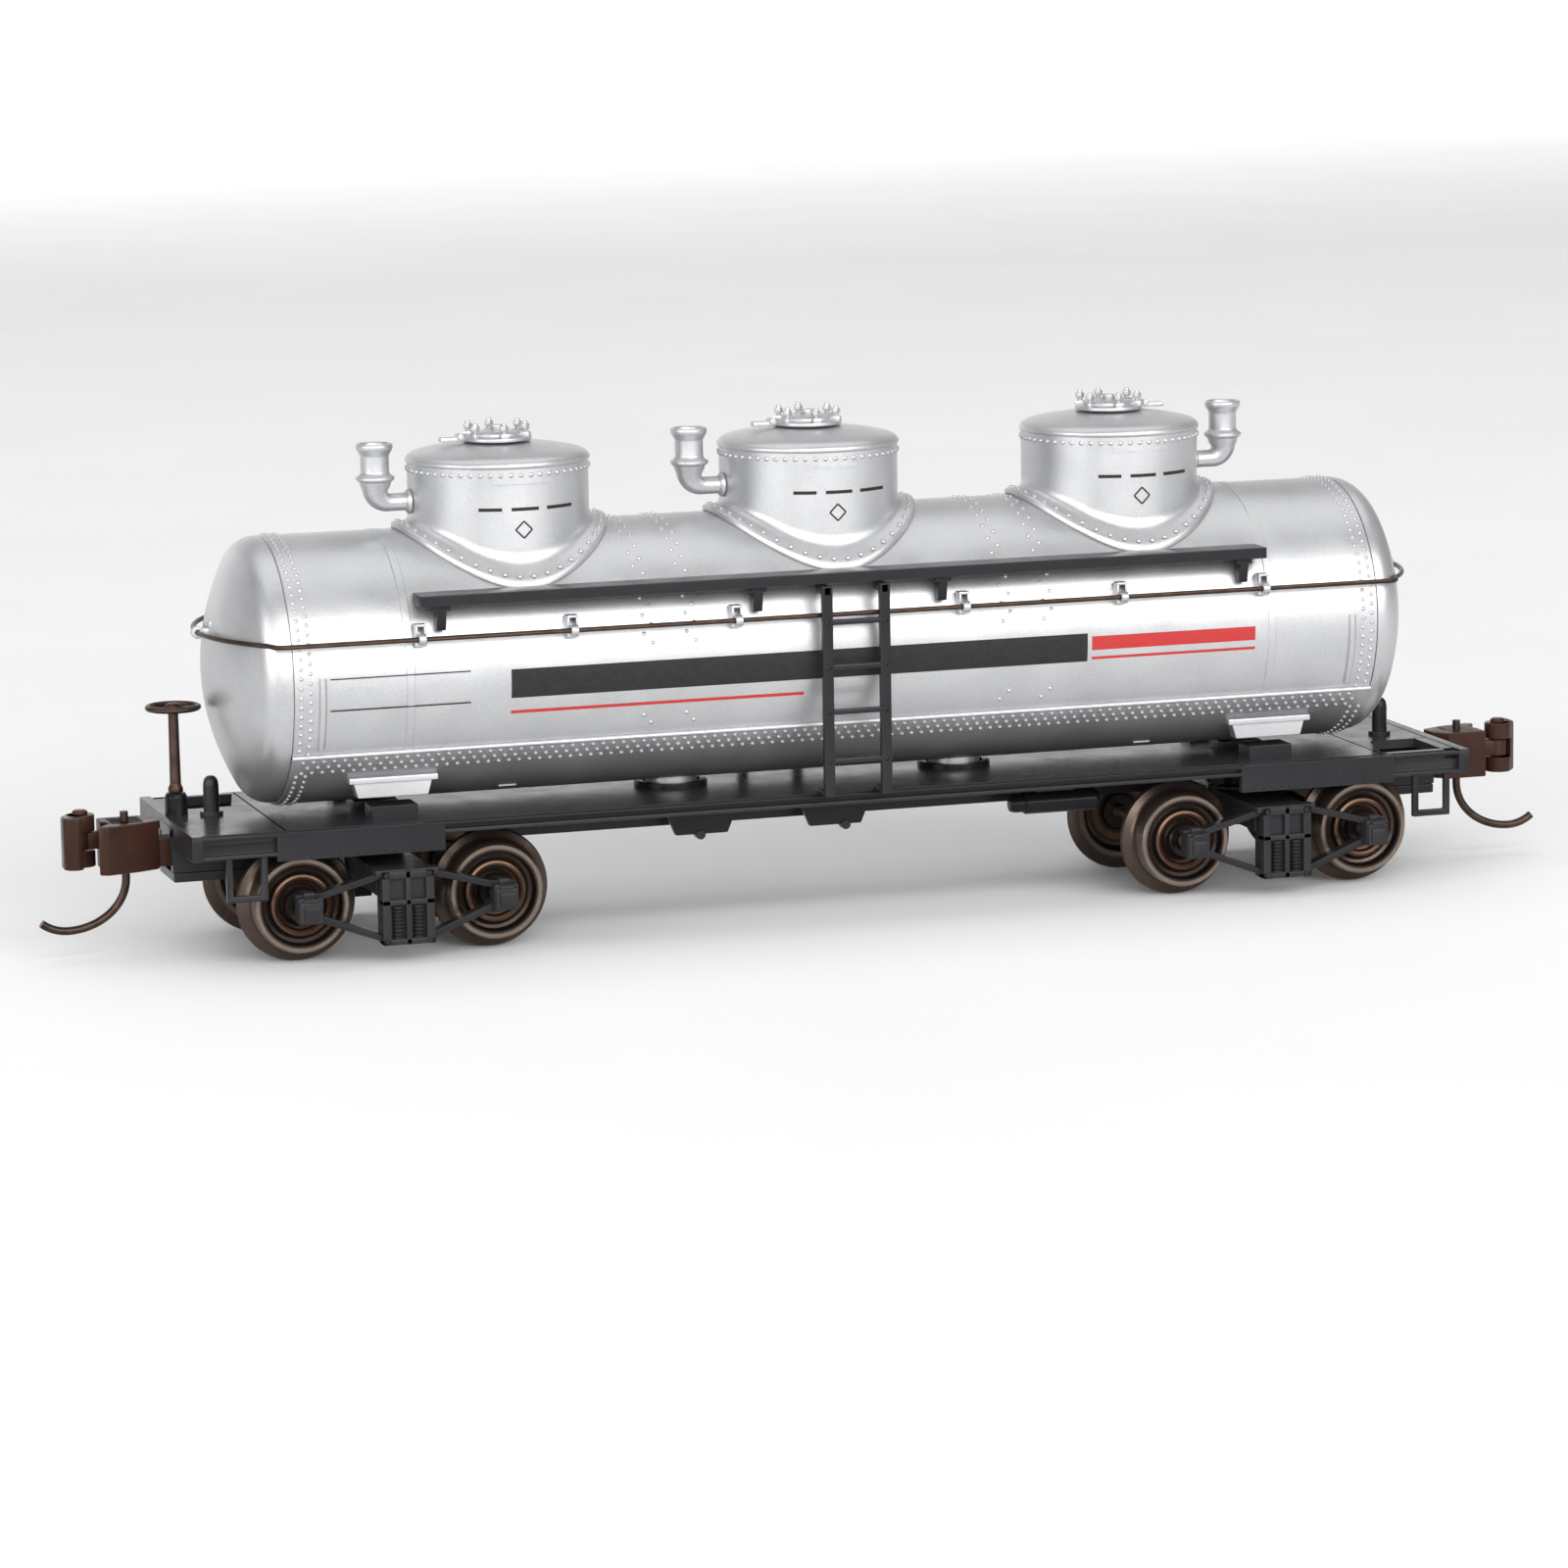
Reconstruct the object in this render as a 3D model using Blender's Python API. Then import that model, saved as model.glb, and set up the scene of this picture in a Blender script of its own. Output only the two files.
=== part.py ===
"""A 1:160 three-dome tank wagon for 9 mm gauge track, modelled piece by piece.

+X runs along the wagon towards the plain end, the brake wheel is at -X, the ladder that
belongs to the near side is at -Y, and z = 0 is the bottom of the wheel flanges.
Every size below is in millimetres; finish() turns the finished mesh into metres.
"""

import math

import bmesh
import bpy
from mathutils import Matrix, Vector

MM = 0.001

# Wheels and trucks
TRUCK_X = 24.7
WHEELBASE = 10.5
TREAD_R = 2.55
FLANGE_R = 3.2
AXLE_Z = FLANGE_R
AXLE_R = 0.42
AXLE_TIP_Y = 7.15
WHEEL_BACK_Y = 4.0
WHEEL_WIDTH = 1.8
BORE_GAP = 0.02
FRAME_IN_Y = 6.35
FRAME_OUT_Y = 7.35
JOURNAL_Y = 8.14
JOURNAL_HALF = 0.65
BOLSTER_TOP = 5.2

# Underframe
DECK_TOP = 7.35
DECK_BOTTOM = 6.85
FRAME_HALF_X = 35.9
SILL_IN_Y = 6.2
SILL_WEB_Y = 6.5
SILL_OUT_Y = 6.75
SILL_BOTTOM = 6.08
SILL_MIDDLE_BOTTOM = 6.7
SILL_FLANGE = 0.2
PLATE_X = (22.4, 31.4)
PLATE_BOTTOM = 5.8
POCKET_X = (30.4, FRAME_HALF_X)
POCKET_HALF_Y = 1.85
POCKET_BOTTOM = 4.67
POCKET_ROOF = 6.5
COUPLER_POST_X = 33.6
BOX_SCREW_X = 31.3
TANK_SCREW_X = 8.1
BRAKE_X = 35.1
BRAKE_Y = 0.9
BOSS_TOP = 8.5

# Tank
TANK_R = 7.19
TANK_Z = 14.94
TANK_WALL = 1.0
BARREL_HALF_X = 30.3
HEAD_APEX_X = 33.5
SEAM_ANGLE = -32.5
FIT_GAP = 0.03

# Domes, covers and vents
DOME_PITCH = 17.33
DOME_R = 4.825
DOME_FLANGE_R = 5.75
DOME_EAVE_Z = 25.5
DOME_TOP_Z = 26.45
VENT_OFFSET = 6.7
VENT_PIPE_Z = 23.43

# Handrail, walkways and ladders
RAIL_Y = 7.45
RAIL_Z = 17.1
RAIL_R = 0.13
RAIL_BOW_X = 33.85
RAIL_CORNER_X = 31.3
STANCHION_X = (6.35, 15.35, 23.55)
WALK_HALF_X = 23.6
WALK_OUT_Y = 7.57
WALK_Z = (18.75, 19.35)
WALK_BRACKETS_X = (5.15, 22.4)
LADDER_Y = 7.9
LADDER_HALF_X = 1.6
RUNG_Z = (9.3, 11.95, 14.35, 16.75)

# Couplers
KNUCKLE_X = 40.3
KNUCKLE_Y = -0.75
KNUCKLE_R = 0.75
KNUCKLE_Z = (4.95, 7.7)
TONGUE_Z = (5.85, 6.75)
HEAD_X = (36.4, 39.45)
HEAD_Z = (4.75, 7.35)
SHANK_Z = (4.85, 6.35)
TRIP_X = 38.1
TRIP_R = 0.22
TRIP_LOW_Z = 1.65

STEPS = 24
SMOOTH_ANGLE = 32.0


# ---------------------------------------------------------------- materials


def material(name, colour, roughness, metallic=0.0):
    """One Principled BSDF with a plain finish."""
    made = bpy.data.materials.new(name)
    made.use_nodes = True
    shader = made.node_tree.nodes["Principled BSDF"]
    shader.inputs["Base Color"].default_value = (*colour, 1.0)
    shader.inputs["Roughness"].default_value = roughness
    shader.inputs["Metallic"].default_value = metallic
    return made


# ---------------------------------------------------------------- shapes


def box(x, y, z):
    """A block between the pairs of limits x, y and z."""
    made = bmesh.new()
    bmesh.ops.create_cube(made, size=1.0)
    size = Vector((x[1] - x[0], y[1] - y[0], z[1] - z[0]))
    middle = Vector((x[0] + x[1], y[0] + y[1], z[0] + z[1])) / 2
    bmesh.ops.transform(made, matrix=Matrix.Diagonal((*size, 1.0)), verts=made.verts)
    bmesh.ops.translate(made, vec=middle, verts=made.verts)
    return made


def prism(outline, axis, span):
    """A flat outline pushed along an axis; it is given as (y, z), (x, z) or (x, y)."""
    slot = "xyz".index(axis)
    made = bmesh.new()
    corners = []
    for first, second in outline:
        point = [first, second]
        point.insert(slot, span[0])
        corners.append(made.verts.new(point))
    face = made.faces.new(corners)
    pushed = bmesh.ops.extrude_face_region(made, geom=[face])
    push = Vector((0, 0, 0))
    push[slot] = span[1] - span[0]
    moved = [item for item in pushed["geom"] if isinstance(item, bmesh.types.BMVert)]
    bmesh.ops.translate(made, vec=push, verts=moved)
    bmesh.ops.recalc_face_normals(made, faces=made.faces)
    return made


def turned(profile, steps=STEPS, loop=False, phase=0.0):
    """A profile of (radius, height) points turned round Z; loop joins its two ends."""
    made = bmesh.new()
    rings = []
    for radius, height in profile:
        if radius == 0:
            rings.append([made.verts.new((0, 0, height))])
            continue
        angles = [phase + math.tau * step / steps for step in range(steps)]
        ring = [(radius * math.cos(a), radius * math.sin(a), height) for a in angles]
        rings.append([made.verts.new(point) for point in ring])
    pairs = list(zip(rings, rings[1:]))
    if loop:
        pairs.append((rings[-1], rings[0]))
    for low, high in pairs:
        if len(low) == len(high) == 1:
            continue
        for step in range(steps):
            after = (step + 1) % steps
            corners = [low[step % len(low)], low[after % len(low)]]
            corners += [high[after % len(high)], high[step % len(high)]]
            made.faces.new(list(dict.fromkeys(corners)))
    bmesh.ops.recalc_face_normals(made, faces=made.faces)
    return made


def drum(radius, span, steps=STEPS, phase=0.0):
    """A solid cylinder round Z."""
    low, high = span
    return turned([(0, low), (radius, low), (radius, high), (0, high)], steps, False, phase)


def ring(outer, inner, span, steps=STEPS):
    """A washer or tube round Z."""
    low, high = span
    return turned([(inner, low), (outer, low), (outer, high), (inner, high)], steps, True)


def at(made, x=0.0, y=0.0, z=0.0):
    """The shape moved by x, y, z."""
    bmesh.ops.translate(made, vec=Vector((x, y, z)), verts=made.verts)
    return made


def along(made, axis):
    """A shape made round Z, laid with that axis along X or Y."""
    turn = Matrix.Rotation(math.pi / 2, 4, "Y")
    if axis == "y":
        turn = Matrix.Rotation(-math.pi / 2, 4, "X")
    bmesh.ops.transform(made, matrix=turn, verts=made.verts)
    return made


def round_z(made):
    """The shape turned half round about Z, which takes one end of the wagon to the other."""
    turn = Matrix.Rotation(math.pi, 4, "Z")
    bmesh.ops.transform(made, matrix=turn, verts=made.verts)
    return made


def copied(made):
    """A second copy of a shape."""
    return made.copy()


def both_ends(made):
    """The shape and its copy at the other end of the wagon."""
    return [made, round_z(copied(made))]


def tank_cylinder(radius, half_x, steps=72):
    """A cylinder along the tank's axis, with corners where the barrel has them."""
    made = drum(radius, (-half_x, half_x), steps, math.radians(SEAM_ANGLE))
    spin = Matrix.Rotation(math.pi / 2, 4, "Y")
    bmesh.ops.transform(made, matrix=spin, verts=made.verts)
    return at(made, z=TANK_Z)


def wire(points, radius, closed=False, sides=2):
    """A round wire through the points, as a mesh."""
    curve = bpy.data.curves.new("wire", "CURVE")
    curve.dimensions = "3D"
    curve.bevel_depth = radius
    curve.bevel_resolution = sides
    curve.use_fill_caps = not closed
    spline = curve.splines.new("POLY")
    spline.points.add(len(points) - 1)
    for knot, point in zip(spline.points, points):
        knot.co = (*point, 1.0)
    spline.use_cyclic_u = closed
    holder = bpy.data.objects.new("wire", curve)
    bpy.context.scene.collection.objects.link(holder)
    graph = bpy.context.evaluated_depsgraph_get()
    mesh = bpy.data.meshes.new_from_object(holder.evaluated_get(graph))
    bpy.data.objects.remove(holder)
    made = bmesh.new()
    made.from_mesh(mesh)
    bpy.data.meshes.remove(mesh)
    bmesh.ops.remove_doubles(made, verts=made.verts, dist=1e-5)
    bmesh.ops.recalc_face_normals(made, faces=made.faces)
    return made


# ---------------------------------------------------------------- joining and cutting


def mesh_object(name, made):
    """A scene object that takes over the shape."""
    mesh = bpy.data.meshes.new(name)
    made.to_mesh(mesh)
    made.free()
    holder = bpy.data.objects.new(name, mesh)
    bpy.context.scene.collection.objects.link(holder)
    return holder


def joined(shapes):
    """Several shapes in one, still as separate bodies."""
    made = bmesh.new()
    for shape in shapes:
        mesh = bpy.data.meshes.new("part")
        shape.to_mesh(mesh)
        shape.free()
        made.from_mesh(mesh)
        bpy.data.meshes.remove(mesh)
    return made


def combine(base, shapes, operation):
    """Runs one exact Boolean of the shapes on the base object and keeps its result."""
    tool = mesh_object("tool", joined(shapes))
    step = base.modifiers.new("combine", "BOOLEAN")
    step.operation = operation
    step.solver = "EXACT"
    step.use_self = True
    step.object = tool
    graph = bpy.context.evaluated_depsgraph_get()
    mesh = bpy.data.meshes.new_from_object(base.evaluated_get(graph))
    base.modifiers.clear()
    base.data = mesh
    bpy.data.objects.remove(tool)


def built(name, adds, cuts=(), later=()):
    """One body: the first shapes joined, the cuts taken out, and the later ones joined on."""
    base = mesh_object(name, adds[0])
    if len(adds) > 1:
        combine(base, adds[1:], "UNION")
    if cuts:
        combine(base, cuts, "DIFFERENCE")
    if later:
        combine(base, later, "UNION")
    return base


def finish(holder, finish_material, origin=(0, 0, 0), parent=None):
    """Turns a millimetre mesh into metres, with its origin where its joint or seat is."""
    start = Vector(origin)
    holder.data.transform(Matrix.Translation(-start))
    holder.data.transform(Matrix.Scale(MM, 4))
    holder.data.materials.clear()
    holder.data.materials.append(finish_material)
    holder.data.shade_smooth()
    holder.data.set_sharp_from_angle(angle=math.radians(SMOOTH_ANGLE))
    holder.location = start * MM
    holder.parent = parent
    return holder


def twin(holder, name, location=None, parent=None):
    """A second object with the same mesh."""
    made = bpy.data.objects.new(name, holder.data)
    bpy.context.scene.collection.objects.link(made)
    made.location = holder.location if location is None else Vector(location) * MM
    made.parent = parent
    return made


def empty(name, location=(0, 0, 0), turn=0.0, parent=None):
    """A frame that pieces are parented to."""
    made = bpy.data.objects.new(name, None)
    bpy.context.scene.collection.objects.link(made)
    made.location = Vector(location) * MM
    made.rotation_euler = (0.0, 0.0, turn)
    made.parent = parent
    return made


# ---------------------------------------------------------------- underframe


def channel_shape(side, bottom, span):
    """A channel along X, open outwards, from the deck down to the given height."""
    top = DECK_TOP - 0.07
    low = bottom + SILL_FLANGE
    high = top - SILL_FLANGE
    outline = [(SILL_IN_Y, bottom), (SILL_OUT_Y, bottom), (SILL_OUT_Y, low), (SILL_WEB_Y, low)]
    outline += [(SILL_WEB_Y, high), (SILL_OUT_Y, high), (SILL_OUT_Y, top), (SILL_IN_Y, top)]
    return prism([(side * y, z) for y, z in outline], "x", span)


def sill_shapes(side):
    """One side sill: shallow between the trucks, deeper at the ends, with a plate at each truck."""
    join = PLATE_X[0] + 1.0
    shapes = [channel_shape(side, SILL_MIDDLE_BOTTOM, (-join, join))]
    for end in (-1, 1):
        span = sorted((end * join, end * (FRAME_HALF_X - 0.1)))
        shapes.append(channel_shape(side, SILL_BOTTOM, span))
        reach = sorted((end * PLATE_X[0], end * PLATE_X[1]))
        width = sorted((side * (SILL_IN_Y + 0.08), side * (SILL_OUT_Y + 0.03)))
        shapes.append(box(reach, width, (PLATE_BOTTOM, DECK_TOP - 0.04)))
    return shapes


def step_shape(middle):
    """A stirrup step: a U of flat strap under the -Y side sill."""
    outer = 1.1
    inner = outer - 0.34
    low = 3.75
    high = SILL_BOTTOM + 0.1
    strap = [(-outer, high), (-outer, low), (outer, low), (outer, high)]
    strap += [(inner, high), (inner, low + 0.34), (-inner, low + 0.34), (-inner, high)]
    strap = [(middle + x, z) for x, z in strap]
    return prism(strap, "y", (-SILL_WEB_Y - 0.15, -SILL_WEB_Y + 0.22))


def make_underframe(black):
    """Deck, sills, bolsters, coupler pockets, steps and brake gear, moulded in one."""
    deck_half = FRAME_HALF_X - 0.05
    deck = box((-deck_half, deck_half), (-6.35, 6.35), (DECK_BOTTOM, DECK_TOP))
    adds = [deck, *sill_shapes(-1), *sill_shapes(1)]
    adds.append(box((-19.5, 19.5), (-1.5, 1.5), (5.3, DECK_BOTTOM + 0.1)))

    # What is alike at both ends.
    sill_y = SILL_OUT_Y + 0.02
    sill_z = (SILL_BOTTOM - 0.03, DECK_TOP + 0.03)
    adds += both_ends(box((35.3, FRAME_HALF_X), (-sill_y, sill_y), sill_z))
    adds += both_ends(box((19.4, 30.6), (-1.45, 1.45), (5.9, DECK_BOTTOM + 0.12)))
    adds += both_ends(box((TRUCK_X - 1.3, TRUCK_X + 1.3), (-6.32, 6.32), (6.2, 7.0)))
    adds += both_ends(at(drum(1.7, (BOLSTER_TOP + 0.1, 7.05)), x=TRUCK_X))
    pocket = (POCKET_X[0], POCKET_X[1] + 0.04)
    adds += both_ends(box(pocket, (-POCKET_HALF_Y, POCKET_HALF_Y), (POCKET_BOTTOM, 7.08)))
    tail = [(0, 7.2), (0.42, 7.2), (0.42, 9.05), (0.3, 9.35), (0, 9.45)]
    adds += both_ends(at(turned(tail, 12), x=33.4))
    for side in (-1, 1):
        block = sorted((side * 3.6, side * 5.3))
        adds += both_ends(box((TRUCK_X - 1.25, TRUCK_X + 1.25), block, (7.2, 8.1)))
    adds += both_ends(box((TRUCK_X - 1.2, TRUCK_X + 1.2), (-1.0, 1.0), (7.2, 7.7)))
    adds += both_ends(step_shape(33.7)) + both_ends(step_shape(-33.0))
    adds += both_ends(at(ring(2.0, 1.6, (7.2, 7.6)), x=TANK_SCREW_X))

    # Brake staff boss, brake cylinder and the hangers of the brake rigging.
    adds.append(at(drum(0.6, (7.2, BOSS_TOP), 8, math.radians(22.5)), -BRAKE_X, BRAKE_Y))
    cylinder = [(0, 10.2), (0.5, 10.2), (0.62, 10.35), (0.62, 15.2), (0, 15.3)]
    adds.append(at(along(turned(cylinder, 16), "x"), y=-3.2, z=5.45))
    adds.append(box((11.6, 13.9), (-3.4, -3.0), (5.6, 7.0)))
    for middle, bolt in ((-7.3, -7.4), (0.25, 0.8)):
        top = [(middle - 2.3, 7.0), (middle - 1.45, 5.0), (middle + 1.45, 5.0), (middle + 2.3, 7.0)]
        adds.append(prism(top, "y", (-3.15, -2.75)))
        adds.append(at(along(drum(0.26, (-3.3, -2.6), 10), "y"), bolt, 0, 4.98))

    cuts = []
    cuts += both_ends(at(drum(0.62, (5.0, 7.15), 18), x=TRUCK_X))
    bore = [(0, 4.9), (1.1, 4.9), (1.1, 5.95), (0.6, 5.95), (0.6, 8.0), (0, 8.0)]
    cuts += both_ends(at(turned(bore, 16), x=TANK_SCREW_X))
    cuts += both_ends(box((32.3, 37.0), (-1.25, 1.25), (4.0, POCKET_ROOF)))
    cuts += both_ends(at(drum(0.36, (4.0, 6.3), 12), x=BOX_SCREW_X))
    opening = [(31.0, -5.9), (34.6, -5.9), (34.6, -2.1), (31.9, -2.1)]
    cuts += both_ends(prism(opening, "z", (6.0, 8.0)))
    cuts.append(at(drum(0.2, (7.45, 9.0), 10), -BRAKE_X, BRAKE_Y))

    posts = both_ends(at(drum(0.5, (4.72, 6.6), 16), x=COUPLER_POST_X))
    holder = built("underframe", adds, cuts, posts)
    return finish(holder, black)


# ---------------------------------------------------------------- tank


def arc_outline(start, stop, steps, wall):
    """The end view of part of the tank's shell, as (y, z) points."""
    outline = []
    for radius, back in ((TANK_R, False), (TANK_R - wall, True)):
        turns = [start + (stop - start) * step / steps for step in range(steps + 1)]
        if back:
            turns.reverse()
        for turn in turns:
            angle = math.radians(turn)
            outline.append((radius * math.cos(angle), TANK_Z + radius * math.sin(angle)))
    return outline


def make_barrel(silver):
    """The upper shell of the tank, with the brackets that hold the handrail."""
    outline = arc_outline(SEAM_ANGLE, 180 - SEAM_ANGLE, 49, TANK_WALL)
    adds = [prism(outline, "x", (-BARREL_HALF_X, BARREL_HALF_X))]
    for x in STANCHION_X:
        for side in (-1, 1):
            reach = sorted((side * 6.5, side * (RAIL_Y + 0.33)))
            adds += both_ends(box((x - 0.25, x + 0.25), reach, (RAIL_Z - 0.33, RAIL_Z + 0.33)))
    cuts = []
    for side in (-1, 1):
        bore = along(drum(RAIL_R + 0.04, (-30, 30), 12), "x")
        cuts.append(at(bore, y=side * RAIL_Y, z=RAIL_Z))
    for place in (-1, 0, 1):
        cuts.append(at(drum(1.65, (20.0, 23.0)), x=place * DOME_PITCH))
    return finish(built("tank_barrel", adds, cuts), silver)


def make_belly(silver):
    """The bottom sheet with its saddle pads, screw bosses and ribs for the weight."""
    gap = math.degrees(FIT_GAP / TANK_R)
    outline = arc_outline(180 - SEAM_ANGLE + gap, 360 + SEAM_ANGLE - gap, 20, TANK_WALL)
    adds = [prism(outline, "x", (-BARREL_HALF_X, BARREL_HALF_X))]
    for side in (-1, 1):
        strip = sorted((side * 4.3, side * 5.15))
        adds += both_ends(box((TRUCK_X - 2.4, TRUCK_X + 2.4), strip, (9.3, 9.62)))
        web = [(-2.15, 9.4), (-1.9, 8.5), (1.9, 8.5), (2.15, 9.4)]
        web = [(TRUCK_X + x, z) for x, z in web]
        adds += both_ends(prism(web, "y", sorted((side * 4.1, side * 4.95))))
    adds += both_ends(at(drum(1.45, (DECK_TOP + 0.02, 10.0)), x=TANK_SCREW_X))
    adds += both_ends(box((17.5, 18.5), (-3.0, 3.0), (8.3, 10.95)))
    cuts = both_ends(at(drum(0.5, (7.0, 9.6), 12), x=TANK_SCREW_X))
    return finish(built("tank_belly", adds, cuts), silver)


def make_heads(silver, ends):
    """The two dished ends, each with a ring that goes inside the barrel."""
    start = BARREL_HALF_X + FIT_GAP
    spigot = TANK_R - TANK_WALL - 0.08
    profile = [(spigot, start - 1.4), (spigot, start), (TANK_R, start)]
    knuckle = 1.5
    centre = start + 0.15
    for step in range(5):
        angle = math.radians(16.5 * step)
        radius = TANK_R - knuckle + knuckle * math.cos(angle)
        profile.append((radius, centre + knuckle * math.sin(angle)))
    edge_r, edge_x = profile[-1]
    for share in (0.75, 0.5, 0.25):
        radius = edge_r * share
        profile.append((radius, edge_x + (HEAD_APEX_X - edge_x) * (1 - share**2)))
    profile.append((0, HEAD_APEX_X))
    profile += [(0, HEAD_APEX_X - 0.9), (spigot - 0.9, start), (spigot - 0.8, start - 1.4)]
    shape = at(along(turned(profile, 36, True), "x"), z=TANK_Z)
    post = box((31.8, RAIL_BOW_X + 0.33), (-0.25, 0.25), (RAIL_Z - 0.33, RAIL_Z + 0.33))
    bore = along(drum(RAIL_R + 0.05, (-1, 1), 12), "y")
    bore = at(bore, RAIL_BOW_X, 0, RAIL_Z)
    head = built("tank_head_plain_end", [shape, post], [bore])
    finish(head, silver, parent=ends["plain_end"])
    twin(head, "tank_head_brake_end", parent=ends["brake_end"])


def dome_profile():
    """The turned outline of a dome, from inside the barrel up to the flat of its crown."""
    profile = [(0, 16.0), (DOME_R, 16.0), (DOME_R, DOME_EAVE_Z - 0.12)]
    profile += [(DOME_R + 0.1, DOME_EAVE_Z - 0.06), (DOME_R + 0.06, DOME_EAVE_Z + 0.12)]
    profile += [(DOME_R - 0.15, DOME_EAVE_Z + 0.36), (DOME_R - 0.6, DOME_EAVE_Z + 0.53)]
    profile += [(3.2, DOME_TOP_Z - 0.18), (1.9, DOME_TOP_Z), (0, DOME_TOP_Z)]
    return profile


def make_domes(silver):
    """Three domes, saddled on the barrel, each with a flange, a peg and two holes."""
    skirt = mesh_object("skirt", drum(DOME_FLANGE_R, (17.0, 24.0), 30))
    combine(skirt, [tank_cylinder(TANK_R + 0.27, 12)], "INTERSECT")
    shape = bmesh.new()
    shape.from_mesh(skirt.data)
    bpy.data.objects.remove(skirt)
    base = built("dome_middle", [turned(dome_profile(), 30), shape])
    combine(base, [tank_cylinder(TANK_R + FIT_GAP, 12)], "DIFFERENCE")
    combine(base, [drum(1.6, (21.0, 23.5))], "UNION")
    holes = [drum(0.55, (25.7, 27.0), 12)]
    holes.append(at(along(drum(0.34, (-6.0, -3.6), 12), "x"), z=VENT_PIPE_Z))
    combine(base, holes, "DIFFERENCE")
    middle = finish(base, silver)
    twin(middle, "dome_brake_end", (-DOME_PITCH, 0, 0))
    far = twin(middle, "dome_plain_end", (DOME_PITCH, 0, 0))
    far.rotation_euler = (0.0, 0.0, math.pi)


def make_covers(silver):
    """The manway covers: a disc, six swing-bolt lugs and a hinge bar on the vent's side."""
    seat = DOME_TOP_Z + 0.03
    disc = [(0, seat), (1.85, seat), (1.85, seat + 0.26), (1.4, seat + 0.3), (1.3, seat + 0.5)]
    disc += [(0, seat + 0.56)]
    adds = [turned(disc, 18), box((-3.15, -1.5), (-0.3, 0.3), (seat, seat + 0.24))]
    for step in range(6):
        lug = box((1.38, 1.78), (-0.17, 0.17), (seat + 0.1, seat + 1.02))
        turn = Matrix.Rotation(math.radians(30 + 60 * step), 4, "Z")
        bmesh.ops.transform(lug, matrix=turn, verts=lug.verts)
        adds.append(lug)
    adds.append(drum(0.5, (seat - 0.6, seat + 0.1), 12))
    middle = finish(built("manway_cover_middle", adds), silver)
    twin(middle, "manway_cover_brake_end", (-DOME_PITCH, 0, 0))
    far = twin(middle, "manway_cover_plain_end", (DOME_PITCH, 0, 0))
    far.rotation_euler = (0.0, 0.0, math.pi)


def make_vents(silver):
    """The safety-vent elbows: a flared mouth on a standpipe, and a pipe into the dome."""
    foot = VENT_PIPE_Z - 0.5
    stand = [(0, foot), (0.5, foot + 0.1), (0.8, foot + 0.5), (0.86, 24.6), (1.03, 24.66)]
    stand += [(1.03, 24.84), (0.77, 24.96), (0.77, 26.0), (0.98, 26.35), (0.98, 26.6)]
    stand += [(0.76, 26.6), (0.6, 26.0), (0, 26.0)]
    adds = [at(turned(stand, 14), x=-VENT_OFFSET)]
    pipe = [(0, -VENT_OFFSET), (0.5, -VENT_OFFSET), (0.5, -5.1), (0.66, -5.0)]
    pipe += [(0.66, -DOME_R - 0.04), (0.3, -DOME_R - 0.04), (0.3, -3.7), (0, -3.7)]
    adds.append(at(along(turned(pipe, 12), "x"), z=VENT_PIPE_Z))
    middle = finish(built("vent_pipe_middle", adds), silver)
    twin(middle, "vent_pipe_brake_end", (-DOME_PITCH, 0, 0))
    far = twin(middle, "vent_pipe_plain_end", (DOME_PITCH, 0, 0))
    far.rotation_euler = (0.0, 0.0, math.pi)


def make_handrail(brown):
    """One closed loop of wire round the tank, bowed round each end."""
    corner = 0.7
    half = RAIL_Y - corner
    rise = RAIL_BOW_X - RAIL_CORNER_X
    bow = (half**2 + rise**2) / (2 * rise)
    edge = math.asin(half / bow)
    quarter = []
    for step in range(5):
        angle = math.radians(-90) + (math.pi / 2 - edge) * step / 4
        x = RAIL_CORNER_X - corner * math.cos(edge) + corner * math.cos(angle)
        quarter.append((x, -RAIL_Y + corner + corner * math.sin(angle)))
    for step in range(1, 7):
        angle = -edge + edge * step / 6
        quarter.append((RAIL_BOW_X - bow + bow * math.cos(angle), bow * math.sin(angle)))
    end = quarter + [(x, -y) for x, y in reversed(quarter[:-1])]
    loop = end + [(-x, -y) for x, y in end]
    points = [(x, y, RAIL_Z) for x, y in loop]
    return finish(mesh_object("handrail", wire(points, RAIL_R, True, 1)), brown)


def make_walkways(black, sides):
    """The side walkways: a plank on four tapered brackets."""
    low, high = WALK_Z
    plank = [(-6.17, low), (-WALK_OUT_Y, low), (-WALK_OUT_Y, high), (-5.76, high)]
    adds = [prism(plank, "x", (-WALK_HALF_X, WALK_HALF_X))]
    leg = [(-6.25, low + 0.1), (-7.35, low + 0.1), (-7.1, 17.45), (-6.82, 17.45)]
    for x in WALK_BRACKETS_X:
        for place in (-x, x):
            adds.append(prism(leg, "x", (place - 0.25, place + 0.25)))
    near = finish(built("walkway_near", adds), black, parent=sides["near"])
    twin(near, "walkway_far", parent=sides["far"])


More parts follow.
